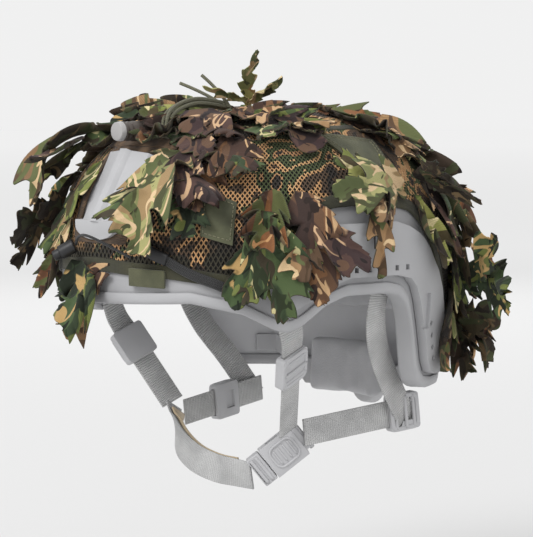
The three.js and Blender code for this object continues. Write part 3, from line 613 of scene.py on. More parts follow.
def makeTrim():
    spread = [np.linspace(-180, 180, 361), rimLine[:, 0], -rimLine[:, 0]]
    turns = np.unique(np.concatenate(spread).round(3))[:-1]
    foot = readLine(rimLine, turns)
    foot = np.convolve(np.concatenate([foot[-1:], foot, foot[:1]]), [0.2, 0.6, 0.2], "valid")
    out, inn = trim["gap"], -dome["wall"] / mm - trim["gap"]
    w, up, down = trim["wall"], trim["reach"], trim["drop"]
    section = np.array([
        (out, up), (out + w * 0.5, up + 0.5), (out + w, up - 0.3), (out + w, 1),
        (out + w * 0.8, -down * 0.6), (out - 0.3, -down), (inn + 0.3, -down), (inn - w * 0.8, -down * 0.6),
        (inn - w, 1), (inn - w, up - 0.3), (inn - w * 0.5, up + 0.5), (inn, up),
        (inn, -trim["gap"]), (out, -trim["gap"]),
    ])
    rises = np.minimum(foot[:, None] + section[None, :, 1], -0.01)
    rings = domePoint(turns[:, None], rises, section[None, :, 0] * mm)
    faces = gridFaces(len(turns), len(section), True, True)
    piece = addMesh("rim_trim_smooth", rings, faces, finishes["rail"])
    faceOut(piece)
    return settle(piece, "helmet", "plastic", "rim_trim")


makeShell()
makeTrim()
print("shell and trim made")

railPieces = {"rail_left": 0.5, "rail_right": 0.5, "front_shroud": 1.1, "nape_yoke": 0.5}
for node, width in railPieces.items():
    skin = finishes["rail"] if node.startswith("rail") else finishes["plastic"]
    settle(cadCopy(node, node + "_moulded", skin, width * mm, 3), "helmet", "plastic", node)
hardware = {
    "front_slider_left": ("slider_left", "plastic", 0.6),
    "front_slider_right": ("slider_right", "plastic", 0.6),
    "rear_slider_left": ("helmet", "plastic", 0.6), "rear_slider_right": ("helmet", "plastic", 0.6),
    "buckle_socket": ("helmet", "plastic", 0.9), "buckle_plug": ("buckle_male", "plastic", 0.8),
    "prong_lower": ("prong_a", "plastic", 0.4), "prong_upper": ("prong_b", "plastic", 0.4),
    "fit_dial": ("dial", "plastic", 1.0), "light_lens": ("helmet", "lens", 0.4),
    "cord_lock": ("helmet", "black", 0.6), "cord_lock_button": ("lock_button", "black", 0.6),
}
slotOf = {"plastic": "plastic", "lens": "lens", "black": "black_plastic"}
for node, (body, skin, width) in hardware.items():
    settle(cadCopy(node, node + "_moulded", finishes[skin], width * mm, 3), body, slotOf[skin], node)
barrel = cadCopy("light_barrel", "light_barrel_moulded", finishes["barrel"], 0.4 * mm, 2)
settle(barrel, "helmet", "black_plastic", "light_barrel")
print("mouldings made")


def sided(points, side):
    return [np.array([side * p[0], p[1], p[2]], float) for p in points]


web = {"width": 19 * mm, "thick": 1.6 * mm}
webSection = roundProfile(web["width"], web["thick"], 0.6 * mm, 2)
helmetLow = np.array([0, 0, dome["middle"]])  # the harness's heights are measured from the widest line


def tangentAt(turn, rise):
    return unit(domePoint(turn + 1, rise) - domePoint(turn - 1, rise))


def squareTo(along, wish):
    wish = np.array(wish, float)
    return unit(wish - along * np.dot(wish, along))


# Points in millimetres. Side 1 is the wearer's left and -1 the right; hang is rise and gap from the wall.
harness = {
    "frontTurn": 66,
    "rearTurn": 100,
    "hang": [(-2, 1.9), (-22, 4.8), (-40, 5.4)],
    "runReach": {1: 5 * mm, -1: 2 * mm},
    "rearLadder": {1: 0.9, -1: 0.5},  # share along the rear run
    "frontFoot": {1: (63.6, -25.2, -120.6), -1: (-60, -27.5, -112)},
    "frontTop": (96, -50, -52),
    "rearRun": [(67.5, -8.5, -121.6), (81.5, 76, -112)],
    "rearRise": [(81.9, 70, -118), (86.5, 47, -86), (95, 29, -60), (103, 21, -34)],
    "riseWide": [(0, 0.8, 0.6), (0, 0.8, 0.6), (0, 0.9, 0.4)],
}


def straightLine(points, count):
    points = np.array(points)
    at = np.concatenate([[0], np.cumsum(np.linalg.norm(np.diff(points, axis=0), axis=1))])
    spots = np.linspace(0, at[-1], count)
    line = readAt(spots, at, points)
    for _ in range(6):  # eases the corners
        line[1:-1] = 0.25 * line[:-2] + 0.5 * line[1:-1] + 0.25 * line[2:]
    return line


# The front strap's top and foot, its direction, its width direction and the way out of it.
def harnessAxes(side):
    top = sided([harness["frontTop"]], side)[0] * mm + helmetLow
    foot = np.array(harness["frontFoot"][side], float) * mm + helmetLow
    along = unit(foot - top)
    wide = squareTo(along, (side * 0.35, -1, 0.2))
    out = np.cross(along, wide)
    return top, foot, along, wide, out if out[0] * side > 0 else -out


# A front strap from the shell's wall through its slider to its foot, and the rear strap's two parts.
def makeHarness(side):
    label = "left" if side > 0 else "right"
    wall = dome["wall"]
    frontTurn, rearTurn = side * harness["frontTurn"], side * harness["rearTurn"]
    hang = [domePoint(frontTurn, rise, -wall - gap * mm) for rise, gap in harness["hang"]]
    top, foot, _, wide, _ = harnessAxes(side)
    hangWide = -side * tangentAt(frontTurn, 0)
    line = straightLine(hang + [top, foot], 90)
    share = np.clip(np.linspace(0, 1, 90) * 2.6 - 0.35, 0, 1)[:, None]
    wides = unit(hangWide * (1 - share) + wide * share)
    piece = sweep("front_strap_" + label + "_web", line, wides, webSection, finishes["webbing"])
    settle(piece, "helmet", "webbing", "front_strap_" + label)
    rear = [p * mm + helmetLow for p in sided(harness["rearRun"], side)]
    rearWide = squareTo(unit(rear[1] - rear[0]), (0, 0, 1))
    rear[0] = rear[0] - unit(rear[1] - rear[0]) * harness["runReach"][side]
    run = straightLine(rear, 50)
    runPiece = sweep("rear_run_" + label + "_web", run, rearWide, webSection, finishes["webbing"])
    rise = [p * mm + helmetLow for p in sided(harness["rearRise"], side)]
    rise.append(domePoint(rearTurn, -4, -wall - 1.9 * mm))
    wides = [np.array(w) for w in harness["riseWide"]] + [side * tangentAt(rearTurn, 0)] * 2
    path = smoothLine(np.array(rise), 70)
    turned = unit(smoothLine(np.array(wides), 70))
    risePiece = sweep("rear_strap_" + label + "_web", path, turned, webSection, finishes["webbing"])
    settle(risePiece, "helmet", "webbing", "rear_strap_" + label)
    settle(runPiece, "helmet", "webbing")


for side in (1, -1):
    makeHarness(side)

chin = {
    "run": [
        (-57.2, -28.7, -116), (-50, -33, -127), (-36, -39.5, -138), (-15, -43.5, -146),
        (8, -43.5, -150.5), (26, -40, -152), (36.3, -39.1, -152.5),
    ],
    "rings": 97, "lined": slice(5, 80), "width": 20 * mm,
    "reachIn": 4.5 * mm, "liningThick": 2 * mm, "liningLift": 3.3 * mm,
}


# The same curve and width directions as the solid: a spline through the run, its width leaning from the
# first direction to the last and rising by half a sine in between.
def makeChin():
    line = smoothLine(np.array(chin["run"]) * mm + helmetLow, chin["rings"])
    share = np.linspace(0, 1, chin["rings"])[:, None]
    wide = unit(np.array([0.1, -0.5, 0.3]) * (1 - share) + np.array([0.45, -0.2, 0.95]) * share)
    lift = np.sin(np.pi * share)
    wide = unit(wide * (1 - lift) + np.array([0.1, 0.15, 1]) * lift)
    line[-12:] += unit(line[-1] - line[-4]) * chin["reachIn"] * np.linspace(0, 1, 12)[:, None]
    line[:10] += unit(line[0] - line[3]) * chin["reachIn"] * 0.5 * np.linspace(1, 0, 10)[:, None]
    section = roundProfile(chin["width"], web["thick"], 0.6 * mm, 2)
    strap = sweep("chin_strap_web", line, wide, section, finishes["webbing"])
    settle(strap, "buckle_male", "webbing", "chin_strap")
    along = unit(np.gradient(line, axis=0))
    inward = unit(np.cross(wide, along))
    lined = (line + inward * (web["thick"] / 2 + chin["liningLift"] * 0.75))[chin["lined"]]
    section = roundProfile(chin["width"], chin["liningThick"], 0.8 * mm, 2)
    lining = sweep("chin_lining_suede", lined, wide[chin["lined"]], section, finishes["suede"])
    settle(lining, "buckle_male", "lining", "chin_lining")


makeChin()


# A ladder lock: a rounded frame round a window, and three bars; the back plate that the tape passes is not
# made.
ladder = {"width": 26.5 * mm, "length": 25 * mm, "frame": 3.4 * mm, "lift": 3.1 * mm, "barRadius": 1.25 * mm}


# A closed rounded rectangle in two directions, as a ring of points.
def roundRing(centre, right, up, width, length, corner, steps=8):
    flat = roundProfile(width, length, corner, steps)
    return centre + right * flat[:, :1] + up * flat[:, 1:]


def makeLadder(name, body, centre, along, wide, out):
    width, length = ladder["width"] - ladder["frame"], ladder["length"] - ladder["frame"]
    ring = roundRing(centre + out * ladder["lift"], wide, along, width, length, 4 * mm)
    section = roundProfile(ladder["frame"], 2.4 * mm, 1.0 * mm, 3)[:, ::-1]
    settle(sweep(name + "_frame", ring, out, section, finishes["plastic"], closedRing=True), body, "plastic")
    for k, (at, lift) in enumerate(((-0.30, 0.2), (0.02, 0.9), (0.30, 0.2))):
        bar = np.linspace(-0.5, 0.5, 12)[:, None] * wide * width + centre + along * at * ladder["length"]
        bar = bar + out * (ladder["lift"] + lift * mm)
        addRod(name + "_bar_" + str(k), bar, along, ladder["barRadius"], "plastic", body, "plastic")


for side, label in ((1, "left"), (-1, "right")):
    top, foot, along, wide, out = harnessAxes(side)
    makeLadder("front_ladder_" + label, "slider_" + label, top + (foot - top) * 0.3, along, wide, out)
    rear = [p * mm + helmetLow for p in sided(harness["rearRun"], side)]
    run = unit(rear[1] - rear[0])
    up = squareTo(run, (0, 0, 1))
    facing = np.cross(run, up)
    facing = facing if facing[0] * side > 0 else -facing
    middle = rear[0] + (rear[1] - rear[0]) * harness["rearLadder"][side]
    makeLadder("rear_ladder_" + label, "helmet", middle, run, up, facing)

# The buckle's raised ring and grip ribs, on its outer face.
buckle = {"foot": (42, -36, -151), "head": (62, -12, -126), "out": (0.8, -0.6, -0.1), "thick": 9 * mm}


def makeBuckleFace():
    foot, head = (np.array(buckle[k], float) * mm + helmetLow for k in ("foot", "head"))
    along = unit(head - foot)
    out = squareTo(along, buckle["out"])
    right = np.cross(along, out)
    face = foot + out * (buckle["thick"] / 2 + 0.2 * mm)
    low = foot + out * (buckle["thick"] / 2 - 0.4 * mm)
    ring = roundRing(face + along * 25 * mm, right, along, 16 * mm, 19 * mm, 5 * mm)
    section = ringProfile(0.9 * mm)
    ringPiece = sweep("buckle_face_ring", ring, out, section, finishes["plastic"], closedRing=True)
    settle(ringPiece, "helmet", "plastic")
    for k in range(4):
        rib = face + along * (19 + 4 * k) * mm + right * np.linspace(-5.5, 5.5, 12)[:, None] * mm
        addRod("buckle_rib_" + str(k), rib, out, 0.8 * mm, "plastic", "helmet", "plastic")
    for k, lift in enumerate((3.0, 7.0)):
        bar = low + along * lift * mm + right * np.linspace(-10, 10, 12)[:, None] * mm
        addRod("plug_bar_" + str(k), bar, out, 1.3 * mm, "plastic", "buckle_male", "plastic")
    loop = foot + out * 0.4 * mm + along * 42 * mm + right * np.linspace(-10.5, 10.5, 12)[:, None] * mm
    addRod("socket_bar", loop, out, 1.7 * mm, "plastic", "helmet", "plastic")


makeBuckleFace()
print("webbing made")


# Each pad's fill. A pad swells a little under cloth pressure, inside the shell.
padded = {
    "crown_pad": 0.55, "front_pad": 0.6, "side_pad_left": 0.6,
    "side_pad_right": 0.6, "rear_pad": 0.6, "nape_pad": 0.7,
}
puff = {
    "voxel": 4.5 * mm, "shrink": 1.2 * mm, "pressure": 4.0,
    "cap": 3.5 * mm, "frames": 20, "clear": 0.5 * mm,
}


def readVectors(mesh, kind):
    values = np.empty(len(mesh.vertices) * 3)
    mesh.vertices.foreach_get(kind, values)
    return values.reshape(-1, 3)


def writePoints(mesh, points):
    mesh.vertices.foreach_set("co", np.asarray(points, float).ravel())
    mesh.update()


def makePad(node):
    piece = mergedCopy(node, node + "_cushion", finishes["pad"])
    voxels = piece.modifiers.new("Voxels", "REMESH")
    voxels.mode = "VOXEL"
    voxels.voxel_size = puff["voxel"]
    ease = piece.modifiers.new("Ease", "SMOOTH")
    ease.iterations = 4
    bake(piece)
    start = readVectors(piece.data, "co") - readVectors(piece.data, "normal") * puff["shrink"]
    writePoints(piece.data, start)
    cloth = piece.modifiers.new("Puff", "CLOTH")
    cloth.settings.use_pressure = True
    cloth.settings.uniform_pressure_force = puff["pressure"]
    cloth.settings.effector_weights.gravity = 0
    cloth.settings.quality = 4
    cloth.point_cache.frame_end = puff["frames"]
    for step in range(1, puff["frames"] + 1):
        bpy.context.scene.frame_set(step)
    bake(piece)
    moved = readVectors(piece.data, "co") - start
    far = np.linalg.norm(moved, axis=1, keepdims=True)
    start = start + moved * np.minimum(1, puff["cap"] / np.maximum(far, 1e-9))
    depth, out = standOff(start.copy())
    limit = -dome["wall"] - puff["clear"]
    if node != "nape_pad":
        start = start - out * np.maximum(depth - limit, 0)[:, None]
    writePoints(piece.data, start)
    finer = piece.modifiers.new("Finer", "SUBSURF")
    finer.levels = 1
    finer.render_levels = 1
    bake(piece)
    piece.data.materials.clear()
    piece.data.materials.append(finishes["pad"])
    piece.data.shade_smooth()
    settle(piece, "helmet", "pad", node)


for node, fill in padded.items():
    makePad(node)
bpy.context.scene.frame_set(1)
print("pads made")


# The cover: liner, printed net, hem tape and the tape round the shroud's opening.
cover = {
    "mmPerDegree": 1.95, "crownRise": 57.0, "across": 3.5 * mm, "up": 2.35, "columns": 232,
    "hole": 0.74, "under": 1.15 * mm, "over": 1.95 * mm, "openHalf": 25.5 * mm, "openRise": 43.5,
    "openFoot": (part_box("front_shroud")[0][2] - dome["middle"]) / mm - 1.5,
}


# A height along the wall and crown in millimetres: straight below the widest line, by angle above it.
def riseOf(height):
    return np.where(height < 0, height, height / cover["mmPerDegree"])


def heightPoint(turn, height, off):
    return domePoint(turn, riseOf(np.asarray(height, float)), off)


hemRise = hemLine[:, 1]
hemHeights = np.stack([hemLine[:, 0], np.where(hemRise < 0, hemRise, hemRise * cover["mmPerDegree"])], -1)


def hemHeight(turn):
    fine = np.arange(-200, 201, 2.0)
    line = np.interp(np.abs(fine), hemHeights[:, 0], hemHeights[:, 1])
    soft = np.convolve(np.pad(line, 2, mode="edge"), [0.1, 0.2, 0.4, 0.2, 0.1], "valid")
    return np.interp((np.asarray(turn, float) + 180) % 360 - 180, fine, soft)


def openTurn(height):
    turns = np.linspace(0, 45, 91)
    x = heightPoint(turns[None, :], np.asarray(height, float).reshape(-1, 1), 0)[..., 0]
    return np.array([np.interp(cover["openHalf"], row, turns) for row in x])


def inOpening(turn, height):
    turn, height = np.broadcast_arrays(np.asarray(turn, float), np.asarray(height, float))
    side = np.abs((turn + 180) % 360 - 180)
    edge = openTurn(height.ravel()).reshape(height.shape)
    return (side < edge) & (riseOf(height) < cover["openRise"]) & (height > cover["openFoot"])


# Diamond holes on a lattice: each cell's four corners, and four more drawn toward its middle.
def latticeSheet(name, spots, keep, wrap):
    rows, columns = keep.shape
    i, j = np.nonzero(keep)
    around = ((-1, 0), (0, 1), (1, 0), (0, -1))
    corner = np.stack([np.stack([i + down, j + right], -1) for down, right in around], 1)
    ring = corner[..., 0] * columns + (corner[..., 1] % columns if wrap else corner[..., 1])
    middle = np.stack([i, j], -1)[:, None].astype(float)
    inner = middle + (corner - middle) * cover["hole"]
    base = rows * columns
    grid = np.stack(np.meshgrid(np.arange(rows), np.arange(columns), indexing="ij"), -1).reshape(-1, 2)
    flat = np.concatenate([grid, inner.reshape(-1, 2)]).astype(float)
    hole = base + np.arange(len(i) * 4).reshape(-1, 4)
    quads = np.concatenate([
        np.stack([ring[:, k], ring[:, (k + 1) % 4], hole[:, (k + 1) % 4], hole[:, k]], -1) for k in range(4)
    ])
    top, low = (spots(flat[:, 0], flat[:, 1], cover[side]) for side in ("over", "under"))
    piece = closeSheet(name, top, low, quads, finishes["net"])
    faceOut(piece)
    return piece


# A closed cloth's own area: half of its whole surface.
def clothArea(piece):
    areas = np.empty(len(piece.data.polygons))
    piece.data.polygons.foreach_get("area", areas)
    return float(areas.sum() / 2)


def makeNet():
    lowest = hemHeights[:, 1].min() - 4
    highest = cover["crownRise"] * cover["mmPerDegree"]
    rows = int((highest - lowest) / cover["up"]) + 1
    columns = cover["columns"] * 2
    height = lowest + cover["up"] * np.arange(rows)[:, None]
    turn = (360 / columns) * np.arange(columns)[None, :] + 0 * height
    turn = (turn + 180) % 360 - 180
    cell = ((np.arange(rows)[:, None] + np.arange(columns)[None, :]) % 2 == 1)
    cell[[0, -1]] = False
    keep = cell & (height > hemHeight(turn) + 1.5) & ~inOpening(turn, height + 0 * turn)
    spots = lambda i, j, off: heightPoint(j * 360 / columns, lowest + cover["up"] * i, off)
    left = turn + 0 * height >= 0
    band = latticeSheet("cover_net_left", spots, keep & left, True)
    right = latticeSheet("cover_net_right", spots, keep & ~left, True)
    # The crown panel, laid out in plan and lifted to the dome.
    reach = np.cos(np.radians(cover["crownRise"] - 1.0)) ** (2 / dome["crownPower"])
    halfX, halfY = dome["halfWidth"] * reach, dome["halfLength"] * reach
    stepX, stepY = cover["across"] / 2, cover["up"] * mm
    nx, ny = int(halfX / stepX) + 2, int(halfY / stepY) + 2
    x = stepX * np.arange(-nx, nx + 1)[None, :]
    y = stepY * np.arange(-ny, ny + 1)[:, None]
    power = dome["planPower"]
    inside = (np.abs(x) / halfX) ** power + (np.abs(y) / halfY) ** power < 1
    cell = (np.arange(2 * ny + 1)[:, None] + np.arange(2 * nx + 1)[None, :]) % 2 == 1
    keep = inside & cell
    keep[[0, -1]] = False
    keep[:, [0, -1]] = False

    def crownSpots(i, j, off):
        px, py = (j - nx) * stepX, (i - ny) * stepY
        return np.stack([px, py, domeOver(px, py, off)], -1)

    crown = latticeSheet("cover_net_crown", crownSpots, keep, False)
    settle(band, "helmet", "net", "cover_net")
    settle(crown, "helmet", "net")
    settle(right, "helmet", "net")
    for half in (band, right):
        clothArea(half)
    clothArea(crown)


# A near-black sheet under the net, between it and the shell: painted shade that darkens the net's holes and
# the gaps between the leaves.
def makeLiner():
    columns, rows = 360, 90
    turns = np.arange(columns) * 360 / columns
    foot = hemHeight(turns)[None, :] + 1
    share = np.linspace(0, 1, rows)[:, None]
    top = 89.0 * cover["mmPerDegree"]
    height = foot + (top - foot) * share
    outer = heightPoint(turns[None] + 0 * height, height, 0.95 * mm)
    inner = heightPoint(turns[None] + 0 * height, height, 0.55 * mm)
    centre = 0.5 * (height[:-1] + height[1:])
    side = turns[None] + 0.5 + 0 * centre
    keep = ~inOpening(side, centre)
    piece = maskedSheet("cover_liner", outer, inner, keep, finishes["liner"])
    settle(piece, "helmet", "net")
    clothArea(piece)


def fillHoles(shape):
    bmesh.ops.holes_fill(shape, edges=[edge for edge in shape.edges if edge.is_boundary], sides=0)


# A tape on the dome: a flat rounded section along a line of turns and heights.
def domeTape(name, turns, heights, width, low, high, material, ring=False):
    centre = heightPoint(turns, heights, (low + high) / 2)
    out = unit(heightPoint(turns, heights, 3 * mm) - heightPoint(turns, heights, 0))
    ahead = np.roll(centre, -1, 0) - np.roll(centre, 1, 0) if ring else np.gradient(centre, axis=0)
    along = unit(ahead)
    wide = unit(np.cross(out, along))
    profile = roundProfile(width, high - low, (high - low) * 0.4, 2)
    points = centre[:, None] + wide[:, None] * profile[None, :, :1] + out[:, None] * profile[None, :, 1:]
    at = np.concatenate([[0], np.cumsum(np.linalg.norm(np.diff(centre, axis=0), axis=1))])
    around = np.linspace(-width, width, len(profile))
    uv = np.stack(np.broadcast_arrays(at[:, None], around[None]), -1)
    piece = addMesh(name, points, gridFaces(len(centre), len(profile), ring, True), material, uv=uv)
    if not ring:
        editMesh(piece.data, piece.data, fillHoles)
    faceOut(piece)
    return piece


def makeTapes():
    def tape(name, turns, heights, width, low, high, finish, ring=True):
        lengths = (value * mm for value in (width, low, high))
        settle(domeTape(name, turns, heights, *lengths, finishes[finish], ring=ring), "helmet", "net")

    turns = np.arange(0, 360, 1.0)
    tape("cover_hem", turns, hemHeight(turns) + 2.5, 9, 0.5, 2.5, "hem")
    heights = np.linspace(cover["openFoot"], cover["openRise"] * cover["mmPerDegree"], 50)
    side = openTurn(heights)
    across = np.linspace(1, -1, 24)[1:-1]
    loopTurns = np.concatenate([side, across * side[-1], -side[::-1], -across * side[0]])
    level = np.ones(len(across))
    loopHeights = np.concatenate([heights, level * heights[-1], heights[::-1], level * heights[0]])
    tape("shroud_opening_tape", loopTurns, loopHeights, 7, 0.6, 2.7, "mesh")
    crownTurns = np.arange(0, 360, 2.0)
    crownHeight = np.full(len(crownTurns), cover["crownRise"] * cover["mmPerDegree"])
    tape("crown_seam", crownTurns, crownHeight, 5, 1.0, 2.6, "hem")
    bow = np.linspace(-1, 1, 40)
    tape("shroud_gusset", 21 * bow, heights[-1] + 7.5 - 2 * bow**2, 12, 1.8, 4.6, "mesh", ring=False)
    for k, lift in enumerate((11.0, 13.4)):
        line = heightPoint(24 * bow, heights[-1] + lift - 3.5 * bow**2, (5.4 + 0.4 * k) * mm)
        addRod("gusset_lace_" + str(k), line, (0, 0, 1), 0.9 * mm, "laces", "helmet", "olive_cloth")


makeLiner()
makeNet()
makeTapes()
print("cover made")


# Outline styles: lobes to a side, how deep their notches go, how sharp, how far they sweep forward,
# and how long the tip runs out.
leafStyles = {
    "oak": {
        "lobes": 2.6, "notch": 0.44, "sharp": 0.80, "sweep": 0.55, "tip": 0.35,
        "teeth": 7, "bite": 0.22,
    },
    "spike": {
        "lobes": 3.2, "notch": 0.34, "sharp": 1.25, "sweep": 1.0, "tip": 0.60,
        "teeth": 7, "bite": 0.24,
    },
    "blade": {
        "lobes": 1.9, "notch": 0.60, "sharp": 1.1, "sweep": 0.8, "tip": 0.9,
        "teeth": 6, "bite": 0.14,
    },
    "torn": {
        "lobes": 2.8, "notch": 0.32, "sharp": 0.95, "sweep": 0.85, "tip": 0.45,
        "teeth": 8, "bite": 0.26,
    },
}
leafGrid = {"rows": 84, "columns": 13, "thick": 0.55 * mm, "clear": 2.45 * mm}


# One leaf: its half width is an envelope (a sine of the share along it) times lobes (a sine wave to a
# power), less a saw of teeth. Its edges sweep forward with the distance from the spine, and it bends by a
# camber, a ripple and a fold.
def leafSheet(spine, across, width, style, draw, camber=0.16):
    kind = leafStyles[style]
    rows, columns = leafGrid["rows"], leafGrid["columns"]
    s = np.linspace(0, 1, rows)[:, None]
    v = np.linspace(-1, 1, columns)[None, :]
    length = np.linalg.norm(np.diff(spine, axis=0), axis=1).sum()
    phases = draw.uniform(0, 1, 8)
    phase = np.where(v < 0, phases[0], phases[0] + 0.25 + 0.5 * phases[1])
    wave = np.abs(np.sin(np.pi * (kind["lobes"] * (1 + 0.12 * (phases[2] - 0.5)) * s + phase)))
    lobes = kind["notch"] + (1 - kind["notch"]) * wave ** kind["sharp"]
    ramp = kind["teeth"] * s * (1 + 0.25 * np.sin(5 * s + 9 * phase)) + 3 * phase
    saw = 1 - (ramp - np.floor(ramp))
    jag = 1 - kind["bite"] * saw * (0.25 + 0.75 * np.abs(np.sin(8.3 * s + 11 * phase)))
    envelope = np.sin(np.pi * np.clip(0.06 + 0.90 * s ** 0.85, 0, 1)) ** 0.62
    envelope = envelope * (1 - kind["tip"] * 0.75 * s**3)
    half = width / 2 * np.maximum(envelope * lobes * jag, 0.035)
    half = np.where(s > 0.985, half * 0.35, half)
    forward = kind["sweep"] * np.abs(v) ** 1.4 * half * wave
    at = s + forward / length
    grid = np.linspace(0, 1, len(spine))
    held = np.clip(at, 0, 1)
    line = readAt(held, grid, spine)
    end = unit(spine[-1] - spine[-3])
    line = line + end * (np.maximum(at - 1, 0) * length)[..., None]
    along, side, up = lineFrames(spine, across)
    along, side, up = (unit(readAt(held, grid, field)) for field in (along, side, up))
    twist = np.radians(22) * (phases[3] - 0.5) * at
    sideways = side * np.cos(twist)[..., None] + up * np.sin(twist)[..., None]
    normal = unit(np.cross(along, sideways))
    fold = camber * width * (phases[4] + 0.35)
    height = -fold * v**2 * (0.4 + 0.6 * np.sin(np.pi * s))
    ripple = np.sin(2 * np.pi * (1.7 * s + phases[5] + 0.3 * np.sign(v)))
    height = height + 0.042 * width * np.abs(v) ** 1.5 * ripple
    height = height + 0.035 * width * np.sin(2 * np.pi * (1.1 * s + phases[6]))
    curl = (phases[7] - 0.35) * 0.35 * width * np.maximum(np.abs(v) - 0.45, 0) ** 2 * 3 * np.sin(np.pi * s)
    points = line + sideways * (v * half)[..., None] + normal * (height + curl)[..., None]
    points = keepOff(points, leafGrid["clear"])
    shift = draw.uniform(0, 3, 2)
    uv = np.stack([shift[0] + at * length, shift[1] + (v * half)], -1)
    return points, uv


# Leaves gathered into one piece: closed cloths with a printed upper face each and a shared back, which by
# default is a darker copy of the print as painted shade.
class LeafPile:
    def __init__(self, name, skins, back="leafUnderShaded"):
        self.name, self.skins, self.back = name, skins, back
        self.points, self.faces, self.uvs, self.slots = [], [], [], []
        self.count, self.area = 0, 0.0

    def add(self, points, uv, skin):
        rows, columns = points.shape[:2]
        out = standOff(points.copy())[1]
        if np.sum(gridNormals(points) * out) < 0:
            points, uv = points[:, ::-1], uv[:, ::-1]
        both = clothPoints(points, leafGrid["thick"])
        faces = clothFaces(rows, columns)
        cells = (rows - 1) * (columns - 1)
        slots = np.full(len(faces), len(self.skins))
        slots[:cells] = self.skins.index(skin)
        self.points.append(both.reshape(-1, 3))
        self.uvs.append(np.stack([uv, uv]).reshape(-1, 2))
        self.faces.append(faces + self.count)
        self.slots.append(slots)
        self.count += 2 * rows * columns
        a = points[1:, :-1] - points[:-1, :-1]
        b = points[:-1, 1:] - points[:-1, :-1]
        self.area += np.linalg.norm(np.cross(a, b), axis=-1).sum()

    def build(self, body, replaced=()):
        back = leafSkins.get(self.back) or finishes[self.back]
        materials = [leafSkins[skin] for skin in self.skins] + [back]
        piece = addMesh(self.name, np.concatenate(self.points), np.concatenate(self.faces), materials,
                        uv=np.concatenate(self.uvs), slots=np.concatenate(self.slots))
        faceOut(piece)
        settle(piece, body, "leaf_cloth", *replaced)
        return piece


# A spine that follows the dome from an anchor: straight ahead in the tangent direction, then drawn to its
# offset, which grows by a power of the share along it.
def domeSpine(turn, rise, heading, length, low, lift, power=1.6, count=24):
    anchor = domePoint(turn, rise, 0)
    east = tangentAt(turn, rise)
    down = unit(domePoint(turn, rise - 1.0 if rise > 1 else rise - 2.0, 0) - anchor)
    ahead = unit(down * np.cos(heading) + east * np.sin(heading))
    share = np.linspace(0, 1, count)[:, None]
    line = anchor + ahead * length * share
    target = low + lift * share[:, 0] ** power
    for _ in range(3):
        depth, out = standOff(line.copy())
        line = line + out * (target - depth)[:, None]
    out = standOff(line.copy())[1]
    along = unit(np.gradient(line, axis=0))
    return line, unit(np.cross(along, out))


# Spine as turn, rise and offset, width in millimetres, skin, outline, and the smaller leaves' skins.
sprays = {
    "crest_front": (
        [(-34, 54, 2.3), (-30, 42, 14), (-27, 28, 24), (-20, 14, 24)],
        40, "tan", "torn", ["purple", "lime"],
    ),
    "cheek_right": ([(-44, 10, 2.3), (-34, 8, 16), (-22, 4, 34)], 30, "purple", "oak", ["purple", "rust"]),
    "brow": (
        [(-6, -2, 2.3), (-4, -14, 9), (-2, -28, 16), (-6, -44, 20)],
        38, "moss", "torn", ["bark", "tan"],
    ),
    "shroud_left": (
        [(22, 44, 2.3), (24, 30, 14), (22, 14, 18), (18, 2, 16)],
        38, "pale", "torn", ["purple", "green"],
    ),
    "top_front": ([(34, 70, 2.3), (31, 58, 9), (30, 47, 8)], 36, "purple", "oak", ["bark", "green"]),
    "side_mid": ([(44, 50, 2.3), (45, 38, 9), (48, 27, 9)], 34, "bark", "oak", ["green", "purple"]),
    "twig": ([(40, 84, 2.3), (46, 76, 22), (54, 66, 48)], 12, "pale", "spike", ["lime", "pale"]),
    "crown": ([(56, 76, 2.3), (68, 58, 8), (78, 40, 8)], 36, "purple", "oak", ["tan", "green"]),
    "crown_rear": ([(118, 62, 2.3), (113, 48, 10), (107, 35, 10)], 32, "tan", "torn", ["bark", "lime"]),
    "wing": ([(114, 28, 2.3), (110, 22, 22), (103, 14, 48)], 28, "bark", "spike", ["bark", "moss"]),
    "ear": ([(105, 24.5, 2.3), (91, 24, 13), (76, 19, 17)], 34, "pale", "torn", ["tan", "lime"]),
    "rail": ([(88, 20.5, 2.3), (89, 9, 10), (88, -12, 13)], 18, "tan", "spike", ["bark"]),
    "temple": ([(54, 17, 2.3), (58, 2, 12), (62, -34, 15)], 38, "green", "torn", ["lime", "moss"]),
    "temple_rear": ([(68, 24, 2.3), (70, 8, 14), (72, -26, 16)], 32, "bark", "oak", ["purple", "tan"]),
    "back_left": ([(138, -20, 2.3), (128, -18, 26), (116, -24, 48)], 34, "moss", "spike", ["green", "bark"]),
    "nape_left": ([(148, -50, 2.3), (136, -58, 22), (124, -76, 36)], 34, "bark", "spike", ["bark", "tan"]),
    "back": ([(180, 40, 2.3), (180, 10, 12), (180, -40, 12)], 46, "green", "oak", ["tan", "bark", "moss"]),
    "nape_right": ([(-150, -30, 2.3), (-148, -55, 14), (-146, -84, 22)], 38, "tan", "torn", ["bark", "moss"]),
    "right_rear": ([(-128, 50, 2.3), (-126, 30, 12), (-122, 6, 14)], 40, "bark", "oak", ["green", "purple"]),
    "right_side": ([(-74, 54, 2.3), (-72, 36, 10), (-74, 14, 16)], 38, "lime", "torn", ["rust", "moss"]),
    "right_temple": ([(-62, 26, 2.3), (-60, 6, 12), (-60, -30, 15)], 38, "purple", "spike", ["tan", "moss"]),
}
swinging = ("crest_front", "cheek_right", "twig", "wing", "back_left", "nape_left")
printedBack = ("twig", "back_left")
sprayForm = {"clear": 3.5, "swingWiden": 1.25, "widen": 1.42}  # clear lifts a swinging spray past its root


